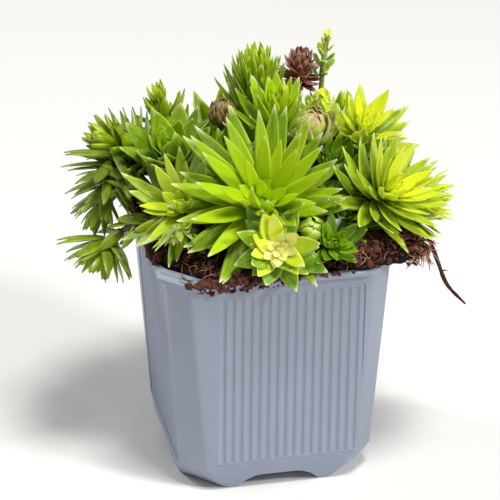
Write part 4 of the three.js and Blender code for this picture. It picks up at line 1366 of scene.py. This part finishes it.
def makePotFinish():
    # moulded blue-grey plastic with a film of dust, paler edges that are partly wear and partly a painted
    # highlight, painted shade in the creases, and soil stains at the foot and the rim
    look = potLook
    material, tree, shader = newFinish("pot_plastic", **{"IOR": 1.48, "Coat Weight": 0.0})
    film = useGroup(tree, mottleGroup, {
        "Color": paint(look["plastic"]), "Second Color": paint(look["film"]),
        "Speck Color": paint(look["dust"]),
        "Scale": 38.0, "Amount": 0.8, "Speck Scale": 1500.0, "Speck Share": 0.12})
    stains = useGroup(tree, mottleGroup, {
        "Color": film["Color"], "Second Color": film["Color"], "Speck Color": paint(look["stain"]),
        "Scale": 20.0, "Amount": 0.0, "Speck Scale": 420.0, "Speck Share": 0.1})
    spot = ownSpot(tree)
    height = put(tree, "SeparateXYZ", {0: spot}).outputs["Z"]
    foot, rim = between(tree, height, 0.03, 0.0, 0.0, 0.35), between(tree, height, 0.07, 0.1, 0.0, 0.7)
    color = blendColors(tree, plus(tree, foot, rim), film["Color"], stains["Color"])
    wear = put(tree, "NewGeometry").outputs["Pointiness"]
    # paler where the edges stand out: partly wear, partly a painted highlight
    color = blendColors(tree, between(tree, wear, 0.515, 0.56, 0.0, 0.5), color, paint(look["wornAndHighlight"]))
    # darker in the creases: painted shade
    color = blendColors(tree, between(tree, wear, 0.49, 0.44, 0.0, 0.35), color, paint(look["creaseShade"]))
    tree.links.new(color, shader["Base Color"])
    rough = plus(tree, look["rough"], times(tree, film["Cloud"], look["roughMore"]))
    tree.links.new(rough, shader["Roughness"])
    grain = times(tree, clouds(tree, spot, 2400.0, 2), look["grain"])
    addDents(tree, shader, look["dents"], 0.0008, plus(tree, grain, clouds(tree, spot, 55.0, 2)))
    return material


def makeEarthFinish(name, dark, light, speck, scale, speckShare, bump, marked=False):
    # marked gives each crumb or fibre a tone of its own
    material, tree, shader = newFinish(name, **{"Specular IOR Level": 0.25})
    earth = useGroup(tree, mottleGroup, {
        "Color": paint(dark), "Second Color": paint(light), "Speck Color": paint(speck),
        "Scale": scale, "Amount": 0.9, "Speck Scale": 700.0, "Speck Share": speckShare})
    color = earth["Color"]
    if marked:
        own = between(tree, readMark(tree, "crumbTint"), 0.0, 1.0)
        color = blendColors(tree, times(tree, own, 0.75), color, paint(light))
    tree.links.new(color, shader["Base Color"])
    tree.links.new(plus(tree, 0.75, times(tree, earth["Cloud"], 0.25)), shader["Roughness"])
    addDents(tree, shader, bump, 0.0012, clouds(tree, ownSpot(tree), 1400.0, 5, 0.7))
    return material


potPiece.data.materials.clear()
potPiece.data.materials.append(makePotFinish())
# dark, light and speck colours, size of the clouds, share of specks and depth of the grain
earthFinishes = [
    (soilPiece, "moist_peat", "#120906", "#301A14", "#8A5A48", 260.0, 0.3, 1.0),
    (crumbPiece, "peat_crumb", "#120906", "#6A3E31", "#B08474", 500.0, 0.2, 0.6, True),
    (fibrePiece, "coir", "#4E2618", "#C48C6C", "#DCB498", 300.0, 0.1, 0.3, True),
    (runnerPiece, "dry_bark", "#2C1812", "#5A3020", "#7C5038", 420.0, 0.2, 0.7, True),
]
for piece, *look in earthFinishes:
    piece.data.materials.clear()
    piece.data.materials.append(makeEarthFinish(*look))
print("finishes made")


lightPlan = dict(
    sky=0.22, skyTone=(0.88, 0.9, 0.93, 1), aim=(0, 0, 0.1), floor=6, floorTones=("#ECEBE9", "#F0EFED"),
    # name, place, size, power and tone
    lamps=[
        ("front", (1.1, -0.95, 1.15), 0.3, 17.5, (1, 0.985, 0.95)),
        ("left", (-1.15, 0.85, 1.1), 0.35, 12, (1, 0.99, 0.97)),
        ("above", (0.15, -0.4, 1.55), 0.35, 16.5, (1, 0.995, 0.97)),
    ])


def makeStage():
    selectNone()
    bpy.ops.mesh.primitive_plane_add(size=lightPlan["floor"])
    floor = bpy.context.object
    floor.name = "floor"
    material, tree, shader = newFinish("floor_paint", **{"Roughness": 0.7, "Specular IOR Level": 0.3})
    tone = put(tree, "TexNoise", {"Scale": 3.0, "Detail": 2}).outputs["Fac"]
    color = blendColors(tree, tone, *map(paint, lightPlan["floorTones"]))
    tree.links.new(color, shader["Base Color"])
    floor.data.materials.append(material)
    world = bpy.data.worlds.new("studio")
    bpy.context.scene.world = world
    world.use_nodes = True
    sky = world.node_tree.nodes["Background"].inputs
    sky["Color"].default_value, sky["Strength"].default_value = lightPlan["skyTone"], lightPlan["sky"]


def makeLamps():
    for name, place, size, power, tone in lightPlan["lamps"]:
        lamp = bpy.data.lights.new(name, "AREA")
        lamp.size, lamp.energy, lamp.color = size, power, tone
        holder = addToScene(bpy.data.objects.new(name, lamp))
        holder.location = place
        aim = Vector(lightPlan["aim"]) - holder.location
        holder.rotation_euler = aim.to_track_quat("-Z", "Y").to_euler()


makeStage()
makeLamps()
bpy.context.scene.view_settings.view_transform = "Standard"
print("floor and light set")
